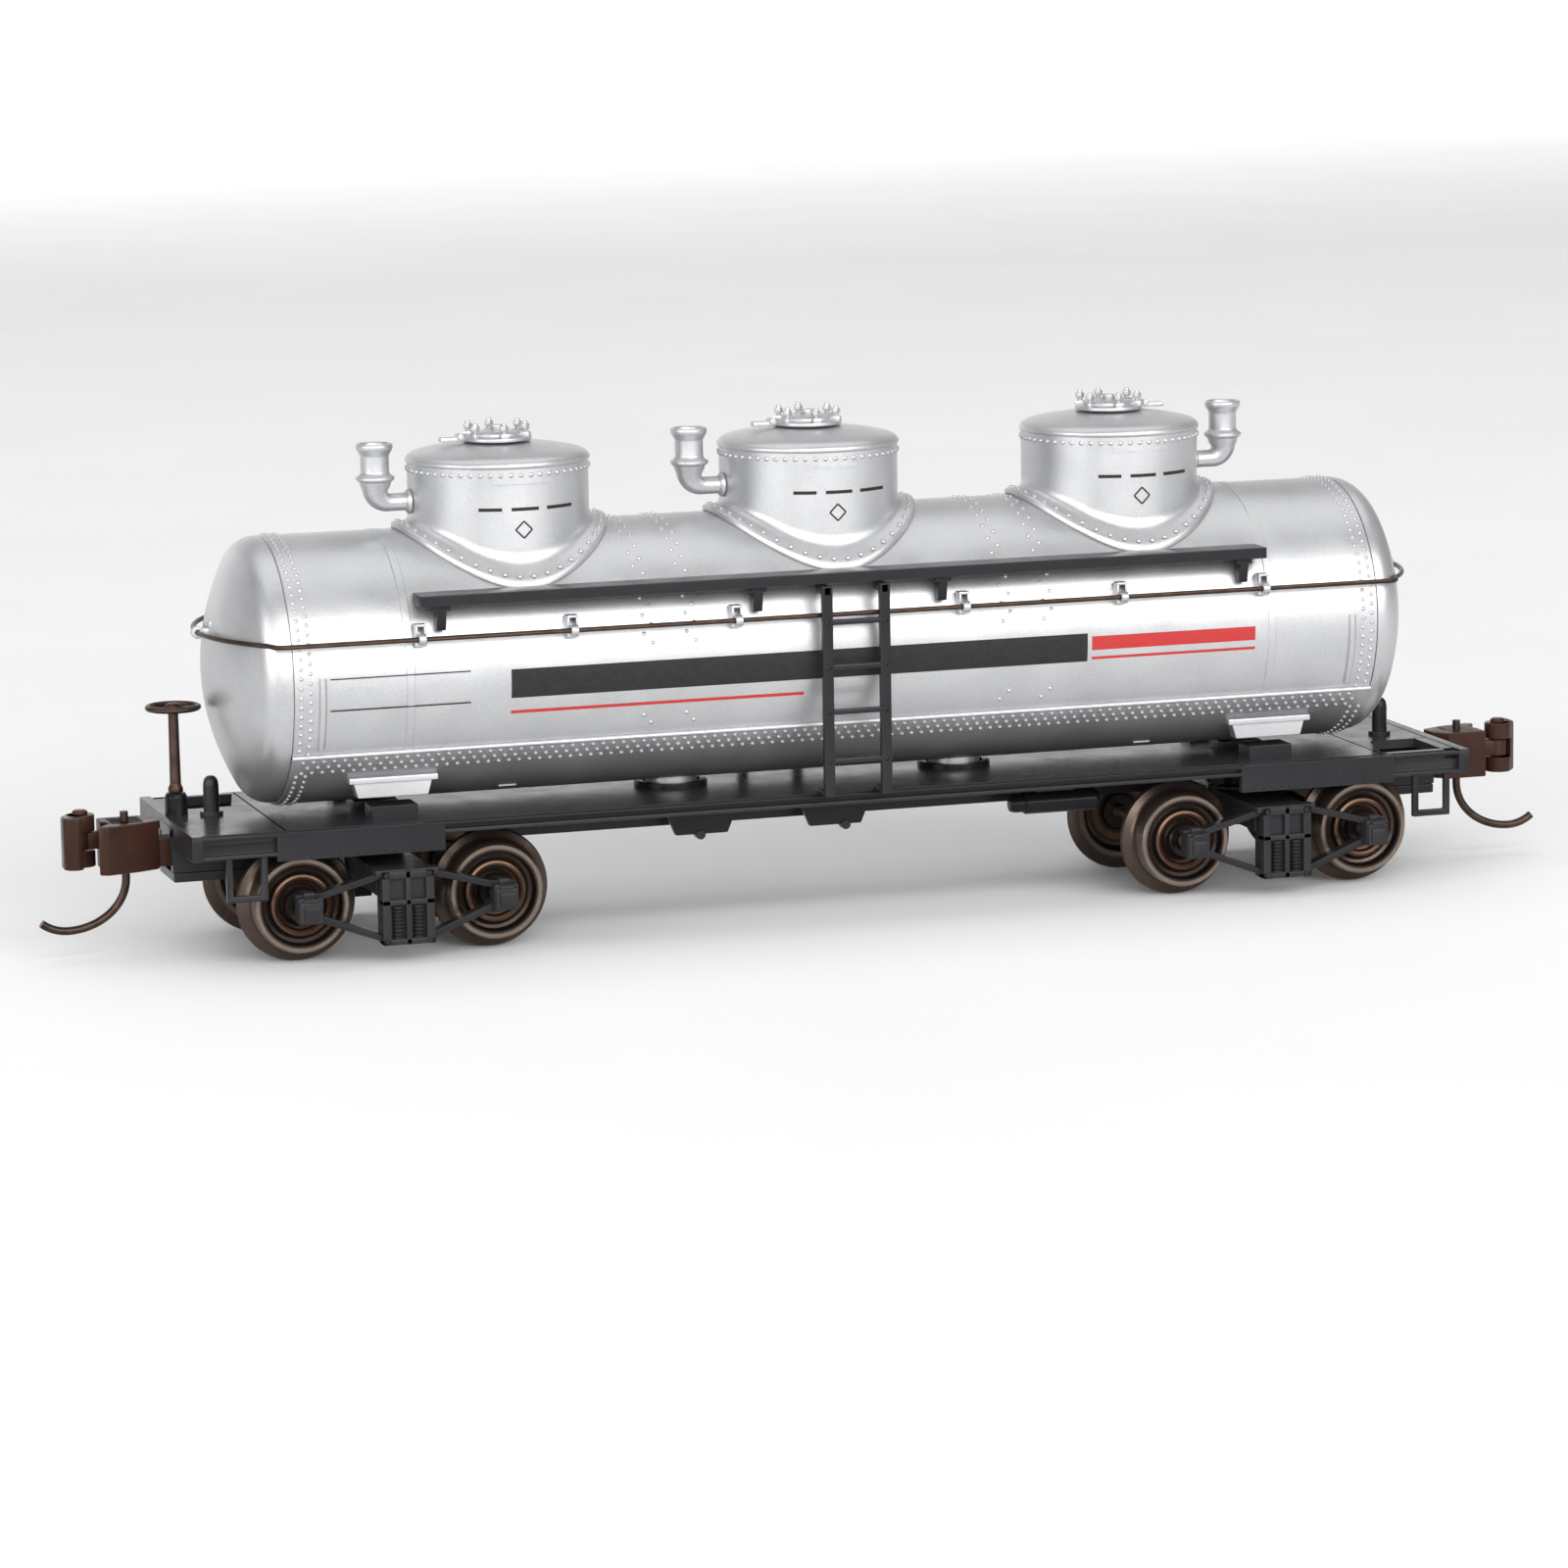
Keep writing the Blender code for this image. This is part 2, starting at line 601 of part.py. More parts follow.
def make_ladders(black, sides):
    """The ladders: two rails hooked under the walkway, four rungs and feet on the deck."""
    outer = -LADDER_Y - 0.18
    inner = -LADDER_Y + 0.18
    adds = []
    for side in (-1, 1):
        edge = sorted((side * (LADDER_HALF_X - 0.3), side * (LADDER_HALF_X + 0.3)))
        adds.append(box(edge, (outer, inner), (DECK_TOP + 0.05, 18.7)))
        hook = [(outer, 18.7), (outer, 18.2), (-6.75, 18.2), (-6.4, 18.7)]
        slim = sorted((side * (LADDER_HALF_X - 0.2), side * (LADDER_HALF_X + 0.2)))
        adds.append(prism(hook, "x", slim))
        adds.append(box(edge, (inner - 0.1, -6.45), (DECK_TOP + 0.05, DECK_TOP + 0.35)))
    for height in RUNG_Z:
        rung = along(drum(0.15, (-LADDER_HALF_X, LADDER_HALF_X), 8), "x")
        adds.append(at(rung, y=-LADDER_Y, z=height))
    near = finish(built("ladder_near", adds), black, parent=sides["near"])
    twin(near, "ladder_far", parent=sides["far"])


def make_inside(steel, ends):
    """The steel weight, and the screws that hold the tank down."""
    finish(mesh_object("weight_bar", box((-26, 26), (-3.4, 3.4), (11.0, 15.5))), steel)
    screw = [(0, 5.32), (0.5, 5.32), (1.0, 5.5), (1.0, 5.92), (0.45, 5.92)]
    screw += [(0.45, 9.2), (0, 9.5)]
    screw = at(turned(screw, 14), x=TANK_SCREW_X)
    slot = box((TANK_SCREW_X - 1.2, TANK_SCREW_X + 1.2), (-0.12, 0.12), (5.0, 5.5))
    fixing = built("tank_screw_plain_end", [screw], [slot])
    finish(fixing, steel, parent=ends["plain_end"])
    twin(fixing, "tank_screw_brake_end", parent=ends["brake_end"])


# ---------------------------------------------------------------- trucks


def make_truck_frame(black):
    """Two arch-bar side frames and a bolster, round the truck's pivot."""
    adds = [box((-1.5, 1.5), (-6.6, 6.6), (3.6, BOLSTER_TOP - 0.2))]
    adds.append(drum(1.6, (3.6, BOLSTER_TOP)))
    cuts = [drum(0.75, (3.0, 6.0))]
    half = WHEELBASE / 2
    for side in (-1, 1):
        plane = sorted((side * (FRAME_IN_Y + 0.25), side * FRAME_OUT_Y))
        full = sorted((side * FRAME_IN_Y, side * JOURNAL_Y))
        column = sorted((side * FRAME_IN_Y, side * (FRAME_OUT_Y + 0.35)))
        adds.append(box((-1.4, 1.4), column, (1.1, 5.0)))
        for end in (-1, 1):
            upper = [(1.3, 4.98), (1.3, 4.6), (4.7, 3.72), (4.7, 4.08)]
            lower = [(1.3, 1.25), (1.3, 1.62), (4.75, 2.95), (4.75, 2.55)]
            for bar in (upper, lower):
                adds.append(prism([(end * x, z) for x, z in bar], "y", plane))
            reach = sorted((end * (half - JOURNAL_HALF), end * (half + JOURNAL_HALF)))
            adds.append(box(reach, full, (AXLE_Z - JOURNAL_HALF, AXLE_Z + JOURNAL_HALF + 0.1)))
            cone = turned([(0, 7.3), (0.12, 7.3), (0.55, 6.2), (0, 6.2)], 16)
            if side < 0:
                bmesh.ops.transform(cone, matrix=Matrix.Diagonal((1, 1, -1, 1)), verts=cone.verts)
                bmesh.ops.recalc_face_normals(cone, faces=cone.faces)
            cuts.append(at(along(cone, "y"), end * half, 0, AXLE_Z))
        face = sorted((side * (FRAME_OUT_Y + 0.1), side * (FRAME_OUT_Y + 0.6)))
        for x in (-0.95, 0.15):
            cuts.append(box((x, x + 0.8), face, (3.5, 4.6)))
            cuts.append(box((x, x + 0.8), face, (1.4, 3.2)))
    return finish(built("truck_frame", adds, cuts), black)


def make_axle(metal):
    """A plain axle with needle points."""
    seat = FRAME_IN_Y - 0.3
    profile = [(0, -AXLE_TIP_Y), (AXLE_R, -seat), (AXLE_R, seat), (0, AXLE_TIP_Y)]
    return finish(mesh_object("axle", along(turned(profile, 20), "y")), metal)


def make_wheel(bronze):
    """A wheel round Y, its flange towards the middle of the track."""
    bore = AXLE_R + BORE_GAP
    width = WHEEL_WIDTH
    profile = [(bore, 0.4), (2.0, 0.4), (2.1, 0.0), (3.05, 0.0), (FLANGE_R, 0.22)]
    profile += [(TREAD_R + 0.04, 0.6), (TREAD_R, width), (2.1, width), (1.95, 1.25)]
    profile += [(1.05, 1.25), (0.95, width - 0.1), (bore, width - 0.1)]
    shape = at(turned(profile, STEPS, True), z=WHEEL_BACK_Y)
    return finish(mesh_object("wheel", along(shape, "y")), bronze)


def place_trucks(black, metal, bronze, ends):
    """Both trucks: each a frame on its pivot, with two wheelsets."""
    frame = make_truck_frame(black)
    axle = make_axle(metal)
    wheel = make_wheel(bronze)
    for end, holder in ends.items():
        pivot = empty("truck_pivot_" + end, (TRUCK_X, 0, 0), 0.0, holder)
        twin(frame, "truck_frame_" + end, (0, 0, 0), pivot)
        for place, x in (("outer", WHEELBASE / 2), ("inner", -WHEELBASE / 2)):
            spot = (x, 0, AXLE_Z)
            label = end + "_" + place
            twin(axle, "axle_" + label, spot, pivot)
            for side, turn in (("left", 0.0), ("right", math.pi)):
                made = twin(wheel, "wheel_" + label + "_" + side, spot, pivot)
                made.rotation_euler = (0.0, 0.0, turn)
    for first in (frame, axle, wheel):
        bpy.data.objects.remove(first)


def make_truck_pins(black, ends):
    """The push-fit pins that the trucks swivel on."""
    profile = [(0, 2.95), (0.9, 2.95), (1.1, 3.15), (1.1, 3.5), (0.55, 3.5), (0.55, 6.9)]
    profile += [(0.4, 7.05), (0, 7.05)]
    pin = mesh_object("truck_pin_plain_end", at(turned(profile, 16), x=TRUCK_X))
    finish(pin, black, parent=ends["plain_end"])
    twin(pin, "truck_pin_brake_end", parent=ends["brake_end"])


# ---------------------------------------------------------------- couplers


def make_box_parts(black, steel, brass, ends):
    """The cover, screw and centring spring of each coupler box."""
    cover = box((POCKET_X[0], FRAME_HALF_X), (-POCKET_HALF_Y, POCKET_HALF_Y), (4.15, 4.65))
    sink = [(0, 4.0), (0.85, 4.0), (0.85, 4.2), (0.42, 4.5), (0.42, 5.0), (0, 5.0)]
    plate = built("coupler_box_cover_plain_end", [cover], [at(turned(sink, 14), x=BOX_SCREW_X)])
    finish(plate, black, parent=ends["plain_end"])
    twin(plate, "coupler_box_cover_brake_end", parent=ends["brake_end"])

    screw = [(0, 4.16), (0.78, 4.16), (0.36, 4.46), (0.32, 4.6), (0.32, 6.0), (0, 6.2)]
    slot = box((BOX_SCREW_X - 1, BOX_SCREW_X + 1), (-0.09, 0.09), (4.0, 4.26))
    fixing = built("coupler_box_screw_plain_end", [at(turned(screw, 14), x=BOX_SCREW_X)], [slot])
    finish(fixing, steel, parent=ends["plain_end"])
    twin(fixing, "coupler_box_screw_brake_end", parent=ends["brake_end"])

    arch = [(32.35, -1.2), (34.9, -1.2), (34.9, -1.1), (32.45, -1.1)]
    arch += [(32.45, 1.1), (34.9, 1.1), (34.9, 1.2), (32.35, 1.2)]
    leaf = mesh_object("centring_spring_plain_end", prism(arch, "z", (5.3, 6.0)))
    finish(leaf, brass, parent=ends["plain_end"])
    twin(leaf, "centring_spring_brake_end", parent=ends["brake_end"])


def trip_points():
    """The trip pin's centre line: down through the head, then out in one curve."""
    points = [(TRIP_X, HEAD_Z[1] + 0.55), (TRIP_X, 4.3)]
    low_x = 41.3
    reach = low_x - TRIP_X
    drop = 4.3 - TRIP_LOW_Z
    for step in range(1, 10):
        angle = math.radians(90 * step / 9)
        points.append((low_x - reach * math.cos(angle), 4.3 - drop * math.sin(angle)))
    for step in range(1, 4):
        angle = math.radians(13 * step)
        points.append((low_x + 2.2 * math.sin(angle), TRIP_LOW_Z + 2.2 * (1 - math.cos(angle))))
    return [(x, 0.0, z) for x, z in points]


def make_couplers(brown, black, steel, ends):
    """The swinging couplers, with their knuckles, pins and trip pins."""
    origin = (COUPLER_POST_X, 0, 0)
    tongue = (KNUCKLE_X, KNUCKLE_Y)
    shank = [box((33.0, 36.6), (-0.62, 0.62), SHANK_Z)]
    shank.append(at(drum(0.85, SHANK_Z, 20), x=COUPLER_POST_X))
    head = [(HEAD_X[0], -0.75), (HEAD_X[0] + 0.7, -1.35), (HEAD_X[1] - 0.1, -1.35)]
    head += [(HEAD_X[1] - 0.1, -0.1), (HEAD_X[1] - 0.45, 0.45), (HEAD_X[1], 1.1)]
    head += [(HEAD_X[1] + 0.35, 1.5), (HEAD_X[1] - 0.1, 1.75), (HEAD_X[0] + 1.2, 1.3)]
    head += [(HEAD_X[0], 0.75)]
    shank.append(prism(head, "z", HEAD_Z))
    shank.append(at(drum(0.5, TONGUE_Z, 16), *tongue))
    shank.append(box((HEAD_X[1] - 0.6, tongue[0]), (tongue[1] - 0.36, tongue[1] + 0.36), TONGUE_Z))
    holes = [at(drum(0.56, (4.0, 7.0), 16), x=COUPLER_POST_X)]
    holes.append(at(drum(0.24, (5.0, 7.5), 10), *tongue))
    holes.append(at(drum(TRIP_R + 0.03, (4.0, 8.0), 12), x=TRIP_X))
    body = finish(built("coupler_plain_end", shank, holes), brown, origin)

    pivot = Matrix.Translation((*tongue, 0))
    boss = at(drum(KNUCKLE_R, KNUCKLE_Z, 20), *tongue)
    hook = [(40.1, -0.5), (40.4, -1.4), (41.0, -1.05), (41.4, -0.6), (41.4, 0.3), (41.25, 0.62)]
    hook += [(40.75, 0.78), (40.4, 0.6), (40.45, 0.2)]
    gap = (TONGUE_Z[0] - 0.08, TONGUE_Z[1] + 0.08)
    cuts = [at(drum(0.58, gap, 20), *tongue), at(drum(0.2, (4.0, 9.0), 10), *tongue)]
    for turn in (0, 19, 38):
        mouth = box((-1.4, 0.0), (-0.62, 0.62), gap)
        spin = pivot @ Matrix.Rotation(math.radians(turn), 4, "Z")
        bmesh.ops.transform(mouth, matrix=spin, verts=mouth.verts)
        cuts.append(mouth)
    claw = built("knuckle_plain_end", [boss, prism(hook, "z", KNUCKLE_Z)], cuts)
    claw = finish(claw, brown, (*tongue, 0))

    pin = [(0, KNUCKLE_Z[0]), (0.17, KNUCKLE_Z[0]), (0.17, KNUCKLE_Z[1] + 0.02)]
    pin += [(0.42, KNUCKLE_Z[1] + 0.02), (0.42, KNUCKLE_Z[1] + 0.2), (0, KNUCKLE_Z[1] + 0.26)]
    pin = finish(mesh_object("knuckle_pin_plain_end", at(turned(pin, 12), *tongue)), brown, origin)

    trip = mesh_object("trip_pin_plain_end", wire(trip_points(), TRIP_R))
    trip = finish(trip, black, origin)

    for end, holder in ends.items():
        swing = empty("coupler_pivot_" + end, origin, 0.0, holder)
        hinge = empty("knuckle_pivot_" + end, (tongue[0] - origin[0], tongue[1], 0), 0.0, swing)
        for first, parent in ((body, swing), (claw, hinge), (pin, swing), (trip, swing)):
            if end == "plain_end":
                first.location = (0, 0, 0)
                first.parent = parent
            else:
                twin(first, first.name.replace("plain_end", end), (0, 0, 0), parent)


def make_brake_wheel(brown, parent):
    """The brake wheel with its staff, which stands in the boss on the end platform."""
    adds = [drum(0.17, (7.55, 8.7), 10)]
    staff = [(0, BOSS_TOP + 0.03), (0.36, BOSS_TOP + 0.03), (0.29, BOSS_TOP + 0.4), (0.27, 12.9)]
    staff += [(0.42, 12.95), (0.42, 13.25), (0, 13.3)]
    adds.append(turned(staff, 12))
    rim = [(1.5, 13.06), (1.34, 13.22), (1.18, 13.06), (1.34, 12.9)]
    adds.append(turned(rim, 20, True))
    for step in range(5):
        spoke = box((0.2, 1.3), (-0.1, 0.1), (12.98, 13.14))
        turn = Matrix.Rotation(math.tau * step / 5, 4, "Z")
        bmesh.ops.transform(spoke, matrix=turn, verts=spoke.verts)
        adds.append(spoke)
    finish(built("brake_wheel", adds), brown, parent=parent)


# ---------------------------------------------------------------- assembly


def main():
    for old in list(bpy.data.objects):
        bpy.data.objects.remove(old)

    silver = material("silver_paint", (0.56, 0.57, 0.58), 0.34, 0.75)
    black = material("black_plastic", (0.022, 0.023, 0.025), 0.42)
    brown_plastic = material("coupler_brown", (0.07, 0.03, 0.02), 0.5)
    brown_metal = material("browned_wire", (0.05, 0.032, 0.025), 0.45, 0.6)
    bronze = material("blackened_bronze", (0.2, 0.13, 0.09), 0.38, 0.9)
    steel = material("steel", (0.45, 0.45, 0.46), 0.35, 1.0)
    brass = material("phosphor_bronze", (0.6, 0.38, 0.18), 0.35, 1.0)

    ends = {"plain_end": empty("plain_end"), "brake_end": empty("brake_end", turn=math.pi)}
    sides = {"near": empty("near_side"), "far": empty("far_side", turn=math.pi)}
    brake = empty("brake_staff", (-BRAKE_X, BRAKE_Y, 0))

    make_underframe(black)
    make_barrel(silver)
    make_belly(silver)
    make_heads(silver, ends)
    make_domes(silver)
    make_covers(silver)
    make_vents(silver)
    make_handrail(brown_metal)
    make_walkways(black, sides)
    make_ladders(black, sides)
    make_inside(steel, ends)
    place_trucks(black, steel, bronze, ends)
    make_truck_pins(black, ends)
    make_box_parts(black, steel, brass, ends)
    make_couplers(brown_plastic, brown_metal, steel, ends)
    make_brake_wheel(brown_metal, brake)


main()
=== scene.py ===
import math

import bmesh
import bpy
from mathutils import Matrix, Vector


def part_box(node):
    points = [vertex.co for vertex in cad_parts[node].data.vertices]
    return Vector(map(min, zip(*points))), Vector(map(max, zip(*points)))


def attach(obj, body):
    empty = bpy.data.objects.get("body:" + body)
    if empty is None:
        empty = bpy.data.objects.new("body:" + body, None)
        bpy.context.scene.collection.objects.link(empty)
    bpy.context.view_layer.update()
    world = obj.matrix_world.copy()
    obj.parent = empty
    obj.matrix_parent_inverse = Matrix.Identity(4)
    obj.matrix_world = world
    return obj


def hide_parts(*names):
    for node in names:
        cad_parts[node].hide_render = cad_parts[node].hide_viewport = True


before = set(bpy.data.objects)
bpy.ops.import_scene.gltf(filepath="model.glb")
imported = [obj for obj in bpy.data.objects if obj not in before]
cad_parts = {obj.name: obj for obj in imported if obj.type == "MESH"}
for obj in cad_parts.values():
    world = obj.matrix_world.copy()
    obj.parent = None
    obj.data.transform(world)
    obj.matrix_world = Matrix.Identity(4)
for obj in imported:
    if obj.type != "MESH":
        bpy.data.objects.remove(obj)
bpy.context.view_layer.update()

MM = 0.001


def limits(node, axis):
    """A CAD node's lowest and highest value along one axis, in millimetres."""
    low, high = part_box(node)
    slot = "xyz".index(axis)
    return low[slot] / MM, high[slot] / MM


def centre_of(node, axis):
    """The middle of a CAD node along one axis, in millimetres."""
    return sum(limits(node, axis)) / 2


# Tank
TANK_R = limits("tank_head_plain_end", "y")[1]
TANK_Z = centre_of("tank_head_plain_end", "z")
BARREL_X = limits("tank_barrel", "x")[1]
HEAD_APEX_X = 33.5
COURSE_X = 24.1
LAP = 0.12
BEAD_R = 0.13
BEAD_SUNK = 0.04
SEAM = 32.5
RIVET_R = 0.115
RING_PITCH = 0.52
BULKHEAD_PITCH = 1.0
BELLY_PITCH = 0.56
BELLY_EDGE = 0.6
BAND_X = (29.45, 29.95)
BULKHEAD_X = (8.6, 9.05, 10.95, 11.4)
BULKHEAD_GAP = (-18.5, 3.0)
END_STRIP_X = 28.8
END_STRIP_R = 0.2

# Stripes: limits along X, then the angles of the top and bottom edges
BLACK_BAND = (-18.7, 13.4, 2.0, -10.5)
RED_LINE_LEFT = (-18.7, -2.6, -16.2, -17.6)
RED_BAND = (13.65, 23.1, 0.5, -5.6)
RED_LINE_RIGHT = (13.65, 23.1, -8.6, -9.8)
THIN_LINE_X = (-28.4, -20.9)
THIN_LINE_TOPS = (2.6, -11.0)
PAINT = 0.014
PAINT_ON_DOME = 0.012

# Domes
DOME_PITCH = centre_of("dome_plain_end", "x")
DOME_R = 4.825
DOME_FLANGE_R = 5.75
FLANGE_RIVETS_R = 5.42
EAVE_Z = 25.5
CROWN_Z = 26.45
VENT_X = 6.7
VENT_Z = 23.43

# Handrail, walkways and ladders
RAIL_Z = centre_of("handrail", "z")
RAIL_R = 0.13
RAIL_Y = limits("handrail", "y")[1] - RAIL_R
BOW_X = limits("handrail", "x")[1] - RAIL_R
CORNER_X = 31.3
STANCHION_X = (6.35, 15.35, 23.55)
WALK_X = limits("walkway_near", "x")[1]
WALK_Z = (18.75, 19.35)
WALK_BRACKETS = (-22.4, -5.15, 5.15, 22.4)
LADDER_X = 1.6
LADDER_Y = 7.9
LADDER_TOP = 18.7
RUNG_Z = (9.3, 11.95, 14.35, 16.75)

# Underframe
DECK_TOP = 7.35
HALF_X = limits("coupler_box_cover_plain_end", "x")[1]
SILL_Y = (6.2, 6.34, 6.75)
SILL_BOTTOM = 6.08
SILL_MIDDLE_BOTTOM = 6.7
SILL_FLANGE = 0.2
PLATE_X = (22.4, 31.4)
PLATE_Y = SILL_Y[2] + 0.03
PLATE_BOTTOM = 5.8
STEP_Y = 6.5
STEP_LOW = 3.75
BOX_X = 30.4
BOX_Y = 1.85
POST_X = 33.6
TANK_SCREW_X = 8.1
BRAKE_X = 35.1
BRAKE_Y = 0.9
CYLINDER_Z = 5.45

# Trucks and wheels
TRUCK_X = centre_of("truck_frame_plain_end", "x")
WHEELBASE = 10.5
AXLE_Z = centre_of("axle_plain_end_outer", "z")
TREAD_R = 2.55
WHEEL_X = limits("wheel_plain_end_outer_left", "x")
FLANGE_R = (WHEEL_X[1] - WHEEL_X[0]) / 2
WHEEL_WIDTH = 1.8
BACK_Y = 4.0
JOURNAL_Y = limits("truck_frame_plain_end", "y")[1]

# Couplers
KNUCKLE = (40.3, -0.75)
KNUCKLE_Z = limits("knuckle_plain_end", "z")
HEAD_X = (36.4, 39.45)
HEAD_Z = (4.75, 7.35)
SHANK_Z = (4.85, 6.35)
TONGUE_Z = (5.85, 6.75)
TRIP_X = 38.1
TRIP_R = 0.22
TRIP_BEND_Z = 4.3
TRIP_LOW = 1.65

# Brake wheel
HANDWHEEL_R = 1.34
HANDWHEEL_Z = 13.06
HANDWHEEL_WIRE = 0.15

# Ends and sides, each with its turn about Z
ENDS = {"plain_end": 0.0, "brake_end": math.pi}
SIDES = {"near": 0.0, "far": math.pi}

# Tones of the wheels from the hub out, as (radius, colour); the dull stops fall in the grooves and paint
# shade there
DULL_AND_GROOVE_SHADE = (0.028, 0.021, 0.018)
COPPER = (0.135, 0.075, 0.048)
RUBBED = (0.20, 0.155, 0.125)
WORN = (0.085, 0.062, 0.050)
WHEEL_RINGS = (
    (1.15, DULL_AND_GROOVE_SHADE), (1.35, COPPER), (1.55, COPPER), (1.7, DULL_AND_GROOVE_SHADE), (1.85, WORN), (1.98, WORN),
    (2.08, DULL_AND_GROOVE_SHADE), (2.24, DULL_AND_GROOVE_SHADE), (2.31, RUBBED), (2.49, RUBBED), (2.6, WORN),
)

# Studio, in metres and degrees; a lamp has its place, its aim, its size and its power
SKY = 0.42
FLOOR_TONES = ((0.74, 0.74, 0.74), (0.76, 0.76, 0.76))
LAMPS = {
    "top_light": ((0.0, 0.2, 1.1), (0.0, 0.0, 0.0), (1.6, 0.9), 4.5),
    "front_light": ((0.1, -1.0, 0.5), (0.0, 0.0, 0.014), (1.8, 0.8), 20.0),
    "left_light": ((-0.95, -0.45, 0.3), (0.0, 0.0, 0.014), (0.7, 0.45), 5.5),
    "back_light": ((0.0, 0.9, 0.5), (0.0, 1.4, 0.0), (2.5, 0.4), 18.0),
}
CAMERA_AT = Vector((-0.09826, -0.30845, 0.06191))
CAMERA_TURN = 17.389
CAMERA_DIP = 9.667
CAMERA_ROLL = -0.955
CAMERA_LENS = 138.27


# ---- shapes


def moved(made, x=0.0, y=0.0, z=0.0):
    """The shape, shifted."""
    bmesh.ops.translate(made, vec=Vector((x, y, z)), verts=made.verts)
    return made


def turned_about(made, angle, axis="Z"):
    """The shape, turned about one of the frame's axes."""
    turn = Matrix.Rotation(angle, 3, axis)
    bmesh.ops.rotate(made, cent=(0, 0, 0), matrix=turn, verts=made.verts)
    return made


def laid(made, axis):
    """A shape made round Z, laid with that axis along X or Y."""
    if axis == "x":
        return turned_about(made, math.pi / 2, "Y")
    return turned_about(made, -math.pi / 2, "X")


def eased(made, amount, segments=2):
    """The shape with every sharp edge rounded."""
    sharp = [e for e in made.edges if len(e.link_faces) == 2 and e.calc_face_angle() > 0.5]
    if amount > 0 and sharp:
        bmesh.ops.bevel(
            made, geom=sharp, offset=amount, segments=segments, profile=0.5,
            affect="EDGES", clamp_overlap=True,
        )
    return made


def box(x, y, z, ease=0.05):
    """A block between the pairs of limits x, y and z, with rounded edges."""
    x, y, z = sorted(x), sorted(y), sorted(z)
    made = bmesh.new()
    bmesh.ops.create_cube(made, size=1.0)
    size = Vector((x[1] - x[0], y[1] - y[0], z[1] - z[0]))
    bmesh.ops.scale(made, vec=size, verts=made.verts)
    moved(made, (x[0] + x[1]) / 2, (y[0] + y[1]) / 2, (z[0] + z[1]) / 2)
    return eased(made, min(ease, 0.35 * min(size)))


def prism(outline, axis, span, ease=0.04):
    """A flat outline pushed along an axis; it is given as (y, z), (x, z) or (x, y)."""
    slot = "xyz".index(axis)
    made = bmesh.new()
    corners = []
    for first, second in outline:
        point = [first, second]
        point.insert(slot, span[0])
        corners.append(made.verts.new(point))
    made.faces.new(corners)
    pushed = bmesh.ops.extrude_face_region(made, geom=made.faces[:])
    push = Vector((0, 0, 0))
    push[slot] = span[1] - span[0]
    tops = [item for item in pushed["geom"] if isinstance(item, bmesh.types.BMVert)]
    bmesh.ops.translate(made, vec=push, verts=tops)
    bmesh.ops.recalc_face_normals(made, faces=made.faces)
    return eased(made, ease)


def lofted(rings, loop=False, capped=False):
    """A skin through rings of points; a ring may be a single tip, and loop joins the ends."""
    made = bmesh.new()
    rings = [[made.verts.new(point) for point in ring] for ring in rings]
    pairs = list(zip(rings, rings[1:]))
    if loop:
        pairs.append((rings[-1], rings[0]))
    for low, high in pairs:
        steps = max(len(low), len(high))
        for step in range(steps if steps > 1 else 0):
            after = (step + 1) % steps
            corners = [low[step % len(low)], low[after % len(low)]]
            corners += [high[after % len(high)], high[step % len(high)]]
            made.faces.new(list(dict.fromkeys(corners)))
    if capped:
        for ring in (rings[0], rings[-1]):
            if len(ring) > 1:
                made.faces.new(ring)
    bmesh.ops.recalc_face_normals(made, faces=made.faces)
    return made


def circle(steps, shift=0.0):
    """The cosines and sines of a full turn in even steps."""
    turns = [math.tau * (step + shift) / steps for step in range(steps)]
    return [(math.cos(a), math.sin(a)) for a in turns]


def arc(centre, reach, start, stop, steps):
    """Points round a centre from one angle to another, with a reach along each axis."""
    points = []
    for step in range(steps + 1):
        a = math.radians(start + (stop - start) * step / steps)
        points.append((centre[0] + reach[0] * math.cos(a), centre[1] + reach[1] * math.sin(a)))
    return points


def crowned(profile, apex, steps):
    """The (radius, height) profile carried on from its last point to an apex on the axis."""
    radius, height = profile[-1]
    for step in range(1, steps):
        share = 1 - step / steps
        profile.append((radius * share, height + (apex - height) * (1 - share**2)))
    return profile


def turned(profile, steps=48, loop=False):
    """A profile of (radius, height) points turned round Z; loop joins its two ends."""
    rings = []
    for radius, height in profile:
        around = circle(steps) if radius else [(0, 0)]
        rings.append([(radius * across, radius * along, height) for across, along in around])
    return lofted(rings, loop)


def rounded(profile, radius, steps=3):
    """A profile with its inner corners replaced by short arcs."""
    points = [profile[0]]
    for before, corner, after in zip(profile, profile[1:], profile[2:]):
        corner = Vector(corner)
        back = Vector(before) - corner
        ahead = Vector(after) - corner
        reach = min(radius, back.length * 0.4, ahead.length * 0.4)
        start = corner + back.normalized() * reach
        stop = corner + ahead.normalized() * reach
        for step in range(steps + 1):
            share = step / steps
            low = start.lerp(corner, share)
            high = corner.lerp(stop, share)
            points.append(tuple(low.lerp(high, share)))
    points.append(profile[-1])
    return points


def drum(radius, span, steps=24, ease=0.04):
    """A short cylinder round Z with rounded rims."""
    low, high = span
    profile = [(0, low), (radius, low), (radius, high), (0, high)]
    return turned(rounded(profile, ease), steps)


def sleeve(inner, outer, span, steps=32, ease=0.05):
    """A short pipe round Z with a rounded outside."""
    low, high = span
    profile = [(inner, low), (outer, low), (outer, high), (inner, high)]
    return turned(rounded(profile, ease), steps, True)


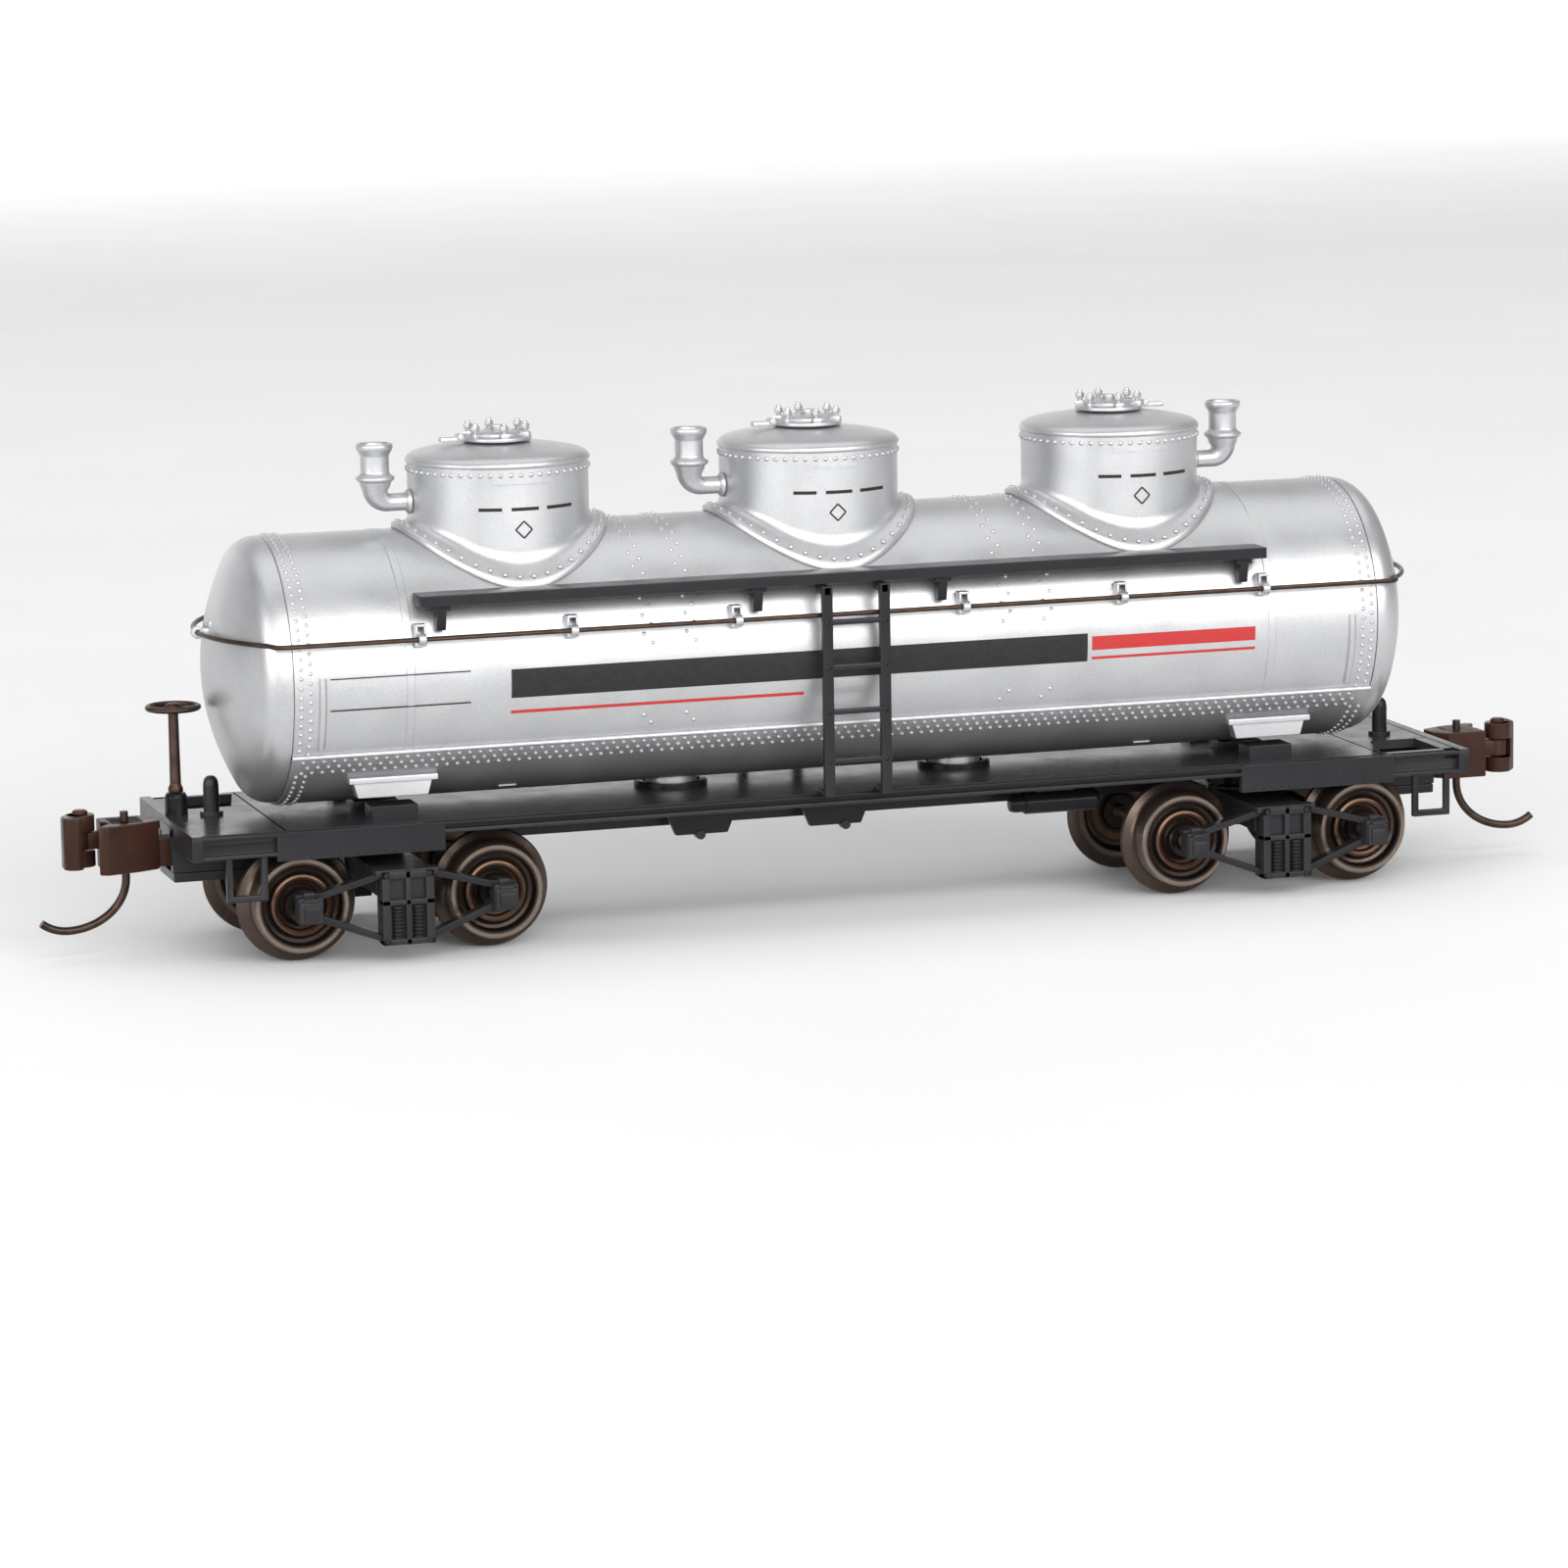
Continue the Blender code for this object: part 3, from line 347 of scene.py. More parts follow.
def tube(points, radii, sides=16, closed=False):
    """A round tube through the points, with one radius or one for each point."""
    points = [Vector(point) for point in points]
    count = len(points)
    if not hasattr(radii, "__len__"):
        radii = [radii] * count
    side = None
    rings = []
    for place, point in enumerate(points):
        ahead = points[(place + 1) % count] if closed or place + 1 < count else point
        behind = points[place - 1] if closed or place > 0 else point
        tangent = (ahead - behind).normalized()
        if side is None:
            side = tangent.orthogonal().normalized()
        side = (side - tangent * side.dot(tangent)).normalized()
        other = tangent.cross(side)
        radius = radii[place]
        rings.append([point + (side * c + other * s) * radius for c, s in circle(sides)])
    return lofted(rings, closed, not closed)


def joined(shapes):
    """Several shapes in one mesh, each still a body of its own."""
    made = bmesh.new()
    for shape in shapes:
        mesh = bpy.data.meshes.new("part")
        shape.to_mesh(mesh)
        shape.free()
        made.from_mesh(mesh)
        bpy.data.meshes.remove(mesh)
    return made


def about(middle, half):
    """The pair of limits at the same distance on both sides of a middle."""
    return middle - half, middle + half


def doubled(shapes):
    """The shapes, and the same turned half round about Z."""
    return shapes + [turned_about(shape.copy(), math.pi) for shape in shapes]


def tank_normal(degrees):
    """The tank skin's outward direction at an angle above the +Y horizontal."""
    a = math.radians(degrees)
    return Vector((0, math.cos(a), math.sin(a)))


def on_tank(x, degrees, lift=0.0):
    """The point of the tank's skin at x and at an angle above the +Y horizontal."""
    a = math.radians(degrees)
    reach = TANK_R + lift
    return Vector((x, reach * math.cos(a), TANK_Z + reach * math.sin(a)))


def swept(profile, start, stop, steps):
    """A closed (x, radius) profile swept about the tank's axis between two angles."""
    rings = []
    for step in range(steps + 1):
        a = math.radians(start + (stop - start) * step / steps)
        rings.append([(x, r * math.cos(a), TANK_Z + r * math.sin(a)) for x, r in profile])
    return lofted(rings, capped=True)


def rivets(places, radius=RIVET_R, sides=8):
    """Low domed rivet heads at (point, normal) places."""
    levels = ((1.0, -0.03), (0.95, 0.35 * radius), (0.6, 0.7 * radius))
    heads = []
    for point, normal in places:
        side = normal.orthogonal().normalized()
        other = normal.cross(side)
        rings = []
        for share, lift in levels:
            ring = [(side * c + other * s) * radius * share for c, s in circle(sides)]
            rings.append([point + normal * lift + offset for offset in ring])
        rings.append([point + normal * 0.85 * radius])
        heads.append(lofted(rings, capped=True))
    return joined(heads)


def rivet_ring(x, start, stop, pitch, shift=0.0, lift=-LAP):
    """Places for a row of rivets round the tank at x, from one angle to the other."""
    step = math.degrees(pitch / TANK_R)
    count = int((stop - start) / step)
    places = []
    for number in range(count):
        degrees = start + step * (number + 0.5 + shift)
        places.append((on_tank(x, degrees, lift), tank_normal(degrees)))
    return places


# ---- materials


class Finish:
    """A procedural material, wired up step by step in the object's own coordinates."""

    def __init__(self, name, metallic=0.0, specular=0.5):
        self.made = bpy.data.materials.new(name)
        self.made.use_nodes = True
        self.nodes = self.made.node_tree.nodes
        self.inputs = self.nodes["Principled BSDF"].inputs
        self.inputs["Metallic"].default_value = metallic
        self.inputs["Specular IOR Level"].default_value = specular
        self.place = self.nodes.new("ShaderNodeTexCoord").outputs["Object"]
        self.relief = None

    def put(self, value, socket):
        """Sets a socket to a plain value, or wires another node's output to it."""
        if isinstance(value, bpy.types.NodeSocket):
            self.made.node_tree.links.new(value, socket)
        else:
            socket.default_value = value

    def node(self, kind, inputs, operation=None):
        """A new node with its inputs set or wired."""
        node = self.nodes.new("ShaderNode" + kind)
        if operation:
            node.operation = operation
        for name, value in inputs.items():
            self.put(value, node.inputs[name])
        return node.outputs

    def noise(self, size, detail):
        """Noise with features of about the given size in millimetres."""
        scale = 1 / (size * MM)
        inputs = {"Scale": scale, "Detail": detail, "Vector": self.place}
        return self.node("TexNoise", inputs)["Fac"]

    def spread(self, value, low=0.0, high=1.0, start=0.3, stop=0.7):
        """The value's range from start to stop, spread from low to high."""
        inputs = {"Value": value, "From Min": start, "From Max": stop}
        return self.node("MapRange", {**inputs, "To Min": low, "To Max": high})["Result"]

    def blend(self, factor, first, second):
        """A colour between two others, each a colour or another node's output."""
        node = self.nodes.new("ShaderNodeMix")
        node.data_type = "RGBA"
        self.put(factor, node.inputs["Factor"])
        colours = [socket for socket in node.inputs if socket.type == "RGBA"]
        for socket, colour in zip(colours, (first, second)):
            self.put((*colour, 1.0) if isinstance(colour, tuple) else colour, socket)
        return [socket for socket in node.outputs if socket.type == "RGBA"][0]

    def look(self, colour, value, low, high):
        """Sets the base colour, and a roughness that runs from low to high with the value."""
        self.put(colour, self.inputs["Base Color"])
        self.put(self.spread(value, low, high), self.inputs["Roughness"])

    def bump(self, height, depth, strength):
        """Adds relief of the given depth in millimetres on top of what is there."""
        inputs = {"Strength": strength, "Distance": depth * MM, "Height": height}
        if self.relief:
            inputs["Normal"] = self.relief
        self.relief = self.node("Bump", inputs)["Normal"]
        self.put(self.relief, self.inputs["Normal"])


def silver_paint():
    """Sprayed silver: fine flake, faint orange peel and soft grey mottling."""
    paint = Finish("silver_paint", metallic=0.8)
    cloud = paint.noise(3.2, 4.0)
    flake = paint.noise(0.09, 1.0)
    tone = paint.blend(paint.spread(cloud), (0.42, 0.425, 0.435), (0.49, 0.495, 0.505))
    fine = paint.blend(paint.spread(flake, 0.0, 0.3), tone, (0.64, 0.645, 0.655))
    paint.look(fine, cloud, 0.33, 0.42)
    paint.bump(paint.noise(0.35, 2.0), 0.012, 0.35)
    paint.bump(flake, 0.006, 0.5)
    return paint.made


def black_plastic(name, dark, light, roughness, edge_wear_and_highlight):
    """Moulded plastic with a fine grain and paler edges, partly rubbing wear and partly a painted
    highlight.
    """
    plastic = Finish(name, specular=0.15)
    cloud = plastic.noise(1.6, 4.0)
    tone = plastic.blend(plastic.spread(cloud), dark, light)
    # Convex edges get a paler colour: partly rubbing wear, partly a painted highlight along the edges.
    rubbed_and_lit_edges = plastic.spread(plastic.node("NewGeometry", {})["Pointiness"], start=0.53, stop=0.62)
    edge = tuple(edge_wear_and_highlight * value for value in light)
    plastic.look(plastic.blend(rubbed_and_lit_edges, tone, edge), cloud, *roughness)
    plastic.bump(plastic.noise(0.07, 2.0), 0.008, 0.4)
    return plastic.made


def ringed_metal(name, rings, pitch):
    """Blackened metal turned about the piece's own Y axis, in rings of (radius, colour)."""
    metal = Finish(name, metallic=0.85)
    split = metal.node("SeparateXYZ", {"Vector": metal.place})
    flat = metal.node("CombineXYZ", {"X": split["X"], "Y": split["Z"]})["Vector"]
    radius = metal.node("VectorMath", {0: flat}, "LENGTH")["Value"]
    # The ramp colours by radius, so its dull stops paint shade into the wheel's grooves.
    ramp = metal.nodes.new("ShaderNodeValToRGB")
    metal.put(metal.spread(radius, start=0.0, stop=FLANGE_R * MM), ramp.inputs["Fac"])
    stops = ramp.color_ramp.elements
    while len(stops) < len(rings):
        stops.new(0.5)
    for stop, (size, colour) in zip(stops, rings):
        stop.position = size / FLANGE_R
        stop.color = (*colour, 1.0)
    cloud = metal.noise(1.2, 3.0)
    tone = metal.blend(metal.spread(cloud, 0.0, 0.35), ramp.outputs["Color"], DULL_AND_GROOVE_SHADE)
    metal.look(tone, cloud, 0.24, 0.36)
    wave = metal.node("Math", {0: radius, 1: math.tau / (pitch * MM)}, "MULTIPLY")["Value"]
    metal.bump(metal.node("Math", {0: wave}, "SINE")["Value"], 0.003, 0.3)
    return metal.made


def plain_metal(name, dark, light, roughness, metallic=1.0):
    """Metal with a drawn or rolled skin."""
    metal = Finish(name, metallic=metallic)
    cloud = metal.noise(0.6, 4.0)
    metal.look(metal.blend(metal.spread(cloud), dark, light), cloud, *roughness)
    metal.bump(metal.noise(0.05, 2.0), 0.005, 0.4)
    return metal.made


def stripe_paint(name, colour):
    """Pad-printed paint: thin and satin, a little uneven."""
    paint = Finish(name, specular=0.25)
    grain = paint.noise(0.3, 3.0)
    paler = tuple(0.96 * value + 0.006 for value in colour)
    paint.look(paint.blend(paint.spread(grain), colour, paler), grain, 0.42, 0.5)
    paint.bump(grain, 0.004, 0.15)
    return paint.made


GLOSSY = (0.16, 0.28)
SATIN = (0.26, 0.40)

SILVER = silver_paint()
BLACK = black_plastic("black_plastic", (0.005, 0.005, 0.006), (0.009, 0.009, 0.010), GLOSSY, 3.0)
TRUCK_BLACK = black_plastic("truck_plastic", (0.005, 0.005, 0.006), (0.010, 0.010, 0.011), SATIN, 3.0)
COUPLER_BROWN = black_plastic("coupler_plastic", (0.020, 0.008, 0.005), (0.032, 0.013, 0.009), SATIN, 1.5)
BROWNED = plain_metal("browned_wire", (0.035, 0.022, 0.016), (0.07, 0.045, 0.034), (0.3, 0.45), 0.85)
BRONZE = ringed_metal("blackened_bronze", WHEEL_RINGS, 0.055)
STEEL = plain_metal("bright_steel", (0.42, 0.42, 0.43), (0.56, 0.56, 0.57), (0.25, 0.4))
BRASS = plain_metal("phosphor_bronze", (0.62, 0.40, 0.20), (0.74, 0.50, 0.27), (0.25, 0.38))
STRIPE_BLACK = stripe_paint("stripe_black", (0.011, 0.011, 0.012))
STRIPE_RED = stripe_paint("stripe_red", (0.38, 0.024, 0.024))


# ---- pieces


def piece(name, shape, finish, body, stands_for=(), origin=(0, 0, 0), turn=0.0):
    """Makes a scene object of the shape, turned about Z, and lets it ride on a body."""
    start = Vector(origin)
    mesh = bpy.data.meshes.new(name)
    shape.to_mesh(mesh)
    mesh.transform(Matrix.Scale(MM, 4) @ Matrix.Translation(-start))
    mesh.materials.append(finish)
    mesh.shade_smooth()
    mesh.set_sharp_from_angle(angle=math.radians(38))
    made = bpy.data.objects.new(name, mesh)
    bpy.context.scene.collection.objects.link(made)
    even = made.modifiers.new("even_shading", "WEIGHTED_NORMAL")
    even.keep_sharp = True
    even.weight = 90
    made.matrix_world = Matrix.Rotation(turn, 4, "Z") @ Matrix.Translation(start * MM)
    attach(made, body)
    if stands_for:
        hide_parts(*stands_for)


def fixed_piece(name, shapes, finish, stands_for=()):
    """One piece of several shapes, fixed to the wagon."""
    shape = joined(shapes)
    piece(name, shape, finish, "wagon", stands_for)
    shape.free()


def at_each(turns, shapes, name, finish, body, node, origin=(0, 0, 0)):
    """The same piece at both ends or sides; {} in the names is the end's or side's name."""
    shape = joined(shapes)
    for place, turn in turns.items():
        stands_for = [node.format(place)]
        piece(name.format(place), shape, finish, body.format(place), stands_for, origin, turn)
    shape.free()


# ---- tank


def shell_profile(inner):
    """The shell's closed (x, radius) outline, with a narrow raised strap over each seam."""
    skin = TANK_R - LAP
    strap = skin + 0.04
    half = [(COURSE_X - 0.35, skin), (COURSE_X - 0.23, skin), (COURSE_X - 0.2, strap)]
    half += [(COURSE_X + 0.2, strap), (COURSE_X + 0.23, skin), (COURSE_X + 0.35, skin)]
    half += [(BARREL_X - 0.05, skin), (BARREL_X, skin - 0.04), (BARREL_X, inner)]
    return [(-x, radius) for x, radius in reversed(half)] + half


def shell_rivets(low, high):
    """Rivets round the shell's ends and bulkheads, which leave out the painted stripes."""
    lower, upper = BULKHEAD_GAP
    stretches = ((low + 2, lower), (upper, 180 - upper), (180 - lower, high - 2))
    places = []
    for side in (-1, 1):
        for number, x in enumerate(BAND_X):
            shift = 0.5 if number == 0 else 0.0
            places += rivet_ring(side * x, low, high, RING_PITCH, shift)
        for number, x in enumerate(BULKHEAD_X):
            shift = 0.5 if number % 2 == 0 else 0.0
            for start, stop in stretches:
                places += rivet_ring(side * x, start, stop, BULKHEAD_PITCH, shift)
    return rivets(places)


def make_barrel():
    """The upper shell with its rivets, its end strips and the handrail's brackets."""
    low = -SEAM
    high = 180 + SEAM
    shapes = [swept(shell_profile(TANK_R - 0.9), low, high, 196), shell_rivets(low, high)]
    for x in (-END_STRIP_X, END_STRIP_X):
        for first in (-29, 177):
            strip = [on_tank(x, degrees, -LAP) for degrees in range(first, first + 33, 2)]
            shapes.append(tube(strip, END_STRIP_R, 12))
    for x in STANCHION_X:
        shapes += doubled(bracket_shapes(x) + bracket_shapes(-x))
    fixed_piece("tank_shell", shapes, SILVER, ["tank_barrel"])


def bracket_shapes(x):
    """A handrail clip: an open frame on the tank, a post and an eye round the wire."""
    shapes = []
    for low, high in ((-0.3, -0.16), (0.16, 0.3)):
        shapes.append(box((x + low, x + high), (6.6, 7.24), (RAIL_Z - 0.3, RAIL_Z + 0.72)))
    for low, high in ((-0.42, -0.2), (0.62, 0.76)):
        shapes.append(box(about(x, 0.32), (6.6, 7.26), (RAIL_Z + low, RAIL_Z + high)))
    shapes.append(box(about(x, 0.18), (6.8, RAIL_Y - 0.12), about(RAIL_Z, 0.2)))
    shapes.append(moved(laid(sleeve(0.17, 0.3, (-0.2, 0.2), 16), "x"), x, RAIL_Y, RAIL_Z))
    return shapes


def belly_rivets(start, stop):
    """Three staggered rows of rivets along each upper edge, and rings at the ends."""
    places = []
    count = int(2 * (BARREL_X - BELLY_EDGE) / BELLY_PITCH)
    for row in range(3):
        inset = 3.2 + 3.3 * row
        for number in range(count):
            x = -BARREL_X + BELLY_EDGE + BELLY_PITCH * (number + 0.5 * (row % 2))
            for degrees in (start + inset, stop - inset):
                places.append((on_tank(x, degrees), tank_normal(degrees)))
    for x in BAND_X:
        for side in (-1, 1):
            places += rivet_ring(side * x, start + 10, stop - 10, RING_PITCH, lift=0.0)
    return rivets(places)


def make_belly():
    """The bottom sheet, lapped over the shell: its beads, rivets, saddle pads, rib and boss."""
    start = 180 + SEAM
    stop = 360 - SEAM
    profile = [(-BARREL_X, TANK_R - 0.9), (-BARREL_X, TANK_R - 0.04), (-BARREL_X + 0.04, TANK_R)]
    profile += [(-x, radius) for x, radius in reversed(profile)]
    shapes = [swept(profile, start, stop, 96)]
    for degrees in (start + 0.8, stop - 0.8):
        bead = [on_tank(x, degrees, -BEAD_SUNK) for x in (-BARREL_X, BARREL_X)]
        shapes.append(tube(bead, BEAD_R, 12))
    shapes.append(belly_rivets(start, stop))
    ends = []
    for side in (-1, 1):
        ends.append(box(about(TRUCK_X, 2.4), (side * 4.3, side * 5.15), (9.3, 9.62), 0.06))
        web = [(-2.15, 9.4), (-1.9, 8.5), (1.9, 8.5), (2.15, 9.4)]
        web = [(TRUCK_X + x, z) for x, z in web]
        ends.append(prism(web, "y", (side * 4.1, side * 4.95), 0.06))
    ends.append(moved(drum(1.45, (DECK_TOP + 0.02, 10.0), 32, 0.08), TANK_SCREW_X))
    ends.append(box((17.5, 18.5), (-3.0, 3.0), (8.3, 10.95)))
    fixed_piece("tank_bottom", shapes + doubled(ends), SILVER, ["tank_belly"])


def head_profile():
    """A dished end's (radius, x) outline: its spigot, its rounded rim and its shallow dish."""
    start = BARREL_X + 0.03
    outer = TANK_R - LAP
    spigot = TANK_R - 1.08
    rim = 1.5
    profile = [(spigot, start - 1.4), (spigot, start), (outer - 0.03, start), (outer, start + 0.03)]
    profile += arc((outer - rim, start + 0.15), (rim, rim), 0, 66, 12)
    profile = crowned(profile, HEAD_APEX_X, 16)
    profile += [(0, HEAD_APEX_X), (0, HEAD_APEX_X - 0.9), (spigot - 0.9, start)]
    return profile + [(spigot - 0.8, start - 1.4)]


def make_heads():
    """The dished ends, with the bracket that holds the handrail's bow."""
    shapes = [moved(laid(turned(head_profile(), 128, True), "x"), z=TANK_Z)]
    shapes.append(box((32.6, BOW_X - 0.1), (-0.2, 0.2), about(RAIL_Z, 0.2)))
    shapes.append(box((32.4, 33.28), (-0.34, 0.34), about(RAIL_Z, 0.6), 0.08))
    eye = laid(sleeve(0.17, 0.33, (-0.22, 0.22), 16), "y")
    shapes.append(moved(eye, BOW_X, 0, RAIL_Z))
    at_each(ENDS, shapes, "tank_end_{}", SILVER, "wagon", "tank_head_{}")


# ---- domes


def dome_shell(steps=96):
    """A dome whose flange follows the tank and runs into its wall with a fillet."""
    rim = DOME_FLANGE_R
    flange = [(4.4, -0.6), (rim - 0.2, -0.3), (rim, -0.05), (rim, 0.17), (rim - 0.05, 0.23)]
    flange += [(rim - 0.2, 0.25), (5.2, 0.26), (5.02, 0.3), (4.9, 0.4), (4.84, 0.56), (DOME_R, 0.8)]
    top = [(DOME_R, 24.4), (DOME_R, EAVE_Z - 0.1), (DOME_R + 0.06, EAVE_Z - 0.07)]
    top += [(DOME_R + 0.1, EAVE_Z), (DOME_R + 0.09, EAVE_Z + 0.1), (DOME_R, EAVE_Z + 0.24)]
    top += [(DOME_R - 0.2, EAVE_Z + 0.38), (DOME_R - 0.5, EAVE_Z + 0.48)]
    rings = []
    for radius, lift in flange:
        ring = []
        for c, s in circle(steps):
            height = math.sqrt(TANK_R**2 - (radius * s) ** 2)
            ring.append((radius * c, radius * s, TANK_Z + height + lift))
        rings.append(ring)
    for radius, z in crowned(top, CROWN_Z, 10):
        rings.append([(radius * c, radius * s, z) for c, s in circle(steps)])
    return lofted(rings, capped=True)


def dome_rivets():
    """Rivets round the flange and in one row under the eave."""
    places = []
    for c, s in circle(44, 0.5):
        x = FLANGE_RIVETS_R * c
        y = FLANGE_RIVETS_R * s
        height = math.sqrt(TANK_R**2 - y**2)
        normal = Vector((0, y, height)).normalized()
        places.append((Vector((x, y, TANK_Z + height)) + normal * 0.24, normal))
    for c, s in circle(56):
        normal = Vector((c, s, 0))
        places.append((normal * DOME_R + Vector((0, 0, EAVE_Z - 0.42)), normal))
    return rivets(places, 0.13)


def on_dome(u, z, lift):
    """The point of a dome's wall that is u round from its front."""
    a = u / DOME_R - math.pi / 2
    reach = DOME_R + lift
    return Vector((reach * math.cos(a), reach * math.sin(a), z))


def dome_stroke(start, stop, width, lift, lengths=6):
    """A thin plate or painted stroke on a dome's wall, in short lengths that follow the curve."""
    start = Vector(start)
    stop = Vector(stop)
    across = (stop - start).orthogonal().normalized() * width / 2
    shapes = []
    for number in range(lengths):
        low = start.lerp(stop, number / lengths)
        high = start.lerp(stop, (number + 1) / lengths)
        corners = [low + across, high + across, high - across, low - across]
        sheet = [[on_dome(u, z, height) for u, z in corners] for height in (lift, -0.05)]
        shapes.append(lofted(sheet, capped=True))
    return shapes


def dome_marks():
    """Three dashes and a small open square on its corner, on a dome's front and back."""
    shapes = []
    tips = [(0.1, 22.65), (0.55, 22.2), (0.1, 21.75), (-0.35, 22.2)]
    for tip, after in zip(tips, tips[1:] + tips[:1]):
        shapes += dome_stroke(tip, after, 0.09, PAINT_ON_DOME, 4)
    for start, stop in ((-2.3, -1.05), (-0.55, 0.95), (1.45, 3.2)):
        shapes += dome_stroke((start, 23.29), (stop, 23.29), 0.18, PAINT_ON_DOME)
    return joined(doubled(shapes))


def make_domes():
    """Three domes with their covers, vents and marks; the one at +X is turned half round."""
    shapes = [dome_shell(), dome_rivets()]
    shapes += doubled(dome_stroke((-1.5, 24.75), (1.65, 24.75), 0.26, 0.1))
    kinds = (
        (joined(shapes), "dome_shell_", "dome_", SILVER),
        (cover_shape(), "dome_cover_", "manway_cover_", SILVER),
        (vent_shape(), "vent_elbow_", "vent_pipe_", SILVER),
        (dome_marks(), "dome_mark_", None, STRIPE_BLACK),
    )
    for name, x, turn in (
        ("brake_end", -DOME_PITCH, 0.0), ("middle", 0.0, 0.0), ("plain_end", -DOME_PITCH, math.pi)
    ):
        for shape, label, node, finish in kinds:
            copy = moved(shape.copy(), x)
            stands_for = [node + name] if node else []
            piece(label + name, copy, finish, "wagon", stands_for, turn=turn)
            copy.free()


def cover_shape():
    """The manway cover: a ribbed disc, a ring of swing bolts with nuts and a hinge."""
    seat = CROWN_Z + 0.03
    disc = [(0, seat), (1.85, seat), (1.85, seat + 0.2), (1.45, seat + 0.24), (1.4, seat + 0.42)]
    disc += [(1.0, seat + 0.5), (0, seat + 0.56)]
    shapes = [turned(rounded(disc, 0.06), 48)]
    shapes.append(drum(0.32, (seat + 0.5, seat + 0.8), 16, 0.06))
    for step in range(6):
        foot = box((1.36, 1.84), (-0.24, 0.24), (seat + 0.1, seat + 0.46), 0.07)
        stem = moved(drum(0.13, (seat + 0.3, seat + 1.0), 12), 1.58)
        nut = moved(drum(0.24, (seat + 0.58, seat + 0.86), 6, 0.05), 1.58)
        for shape in (foot, stem, nut):
            shapes.append(turned_about(shape, math.radians(30 + 60 * step)))
    shapes.append(box((-3.15, -1.5), (-0.3, 0.3), (seat, seat + 0.24), 0.06))
    shapes.append(moved(laid(drum(0.17, (-0.42, 0.42), 12), "y"), -2.05, 0, seat + 0.24))
    return joined(shapes)


def vent_shape():
    """A safety vent: a pipe that widens round its bend, a collar and a flared mouth."""
    bend = 0.75
    pipe = 0.47
    line = [(-DOME_R + 0.1, VENT_Z), (-5.5, VENT_Z)]
    line += arc((-VENT_X + bend, VENT_Z + bend), (bend, bend), -90, -180, 10)
    line += [(-VENT_X, 24.4), (-VENT_X, 24.6)]
    radii = [pipe, pipe] + [pipe + 0.25 * step / 10 for step in range(11)] + [0.82, 0.86]
    stand = [(0, 24.56), (0.88, 24.56), (1.03, 24.68), (1.03, 24.82), (0.84, 24.94), (0.76, 25.06)]
    stand += [(0.76, 25.95), (0.84, 26.1), (0.95, 26.28), (0.98, 26.38), (0.98, 26.52), (0.92, 26.6)]
    stand += [(0.8, 26.6), (0.74, 26.5), (0.62, 26.1), (0, 26.05)]
    root = [(0, -5.12), (0.5, -5.12), (0.64, -5.0), (0.66, -DOME_R - 0.02), (0, -DOME_R + 0.2)]
    shapes = [tube([(x, 0, z) for x, z in line], radii, 28)]
    shapes.append(moved(turned(rounded(stand, 0.04), 36), -VENT_X))
    shapes.append(moved(laid(turned(rounded(root, 0.04), 32), "x"), z=VENT_Z))
    return joined(shapes)


# ---- stripes


def on_side(start_x, stop_x, top, bottom, steps, lift=PAINT):
    """A painted patch on the near side, between two angles above the horizontal."""
    skin = TANK_R - LAP
    profile = [(-stop_x, skin - 0.01), (-stop_x, skin + lift)]
    profile += [(-start_x, skin + lift), (-start_x, skin - 0.01)]
    return turned_about(swept(profile, bottom, top, steps), math.pi)


def make_stripes():
    """Plain painted stripes, the same on both sides, where such a wagon carries its livery."""
    black = [on_side(*BLACK_BAND, 10)]
    black += [on_side(*THIN_LINE_X, top, top - 0.5, 2, 0.05) for top in THIN_LINE_TOPS]
    red = [on_side(*RED_LINE_LEFT, 4), on_side(*RED_BAND, 6), on_side(*RED_LINE_RIGHT, 4)]
    fixed_piece("stripe_black", doubled(black), STRIPE_BLACK)
    fixed_piece("stripe_red", doubled(red), STRIPE_RED)


# ---- rails, walkways, ladders


def make_handrail():
    """The wire loop, with its bow round each end of the tank."""
    corner = 0.7
    half = RAIL_Y - corner
    rise = BOW_X - CORNER_X
    bow = (half**2 + rise**2) / (2 * rise)
    edge = math.asin(half / bow)
    turn = -math.degrees(edge)
    centre = (CORNER_X - corner * math.cos(edge), -half)
    quarter = arc(centre, (corner, corner), -90, turn, 8)
    quarter += arc((BOW_X - bow, 0), (bow, bow), turn, 0, 24)[1:]
    end = quarter + [(x, -y) for x, y in reversed(quarter[:-1])]
    loop = end + [(-x, -y) for x, y in end]
    wire = tube([(x, y, RAIL_Z) for x, y in loop], RAIL_R, 14, True)
    fixed_piece("handrail_wire", [wire], BROWNED, ["handrail"])


def make_walkways():
    """A plank with a kicked edge on four ribbed brackets, on each side."""
    low, high = WALK_Z
    plank = [(-6.17, low), (-7.57, low), (-7.57, high), (-5.76, high)]
    shapes = [prism(plank, "x", (-WALK_X, WALK_X), 0.06)]
    leg = [(-6.25, low + 0.1), (-7.35, low + 0.1), (-7.1, 17.45), (-6.82, 17.45)]
    for x in WALK_BRACKETS:
        shapes.append(prism(leg, "x", about(x, 0.25), 0.05))
        shapes.append(box(about(x, 0.45), (-7.3, -6.9), (low - 0.28, low + 0.1)))
    at_each(SIDES, shapes, "walkway_board_{}", BLACK, "wagon", "walkway_{}")


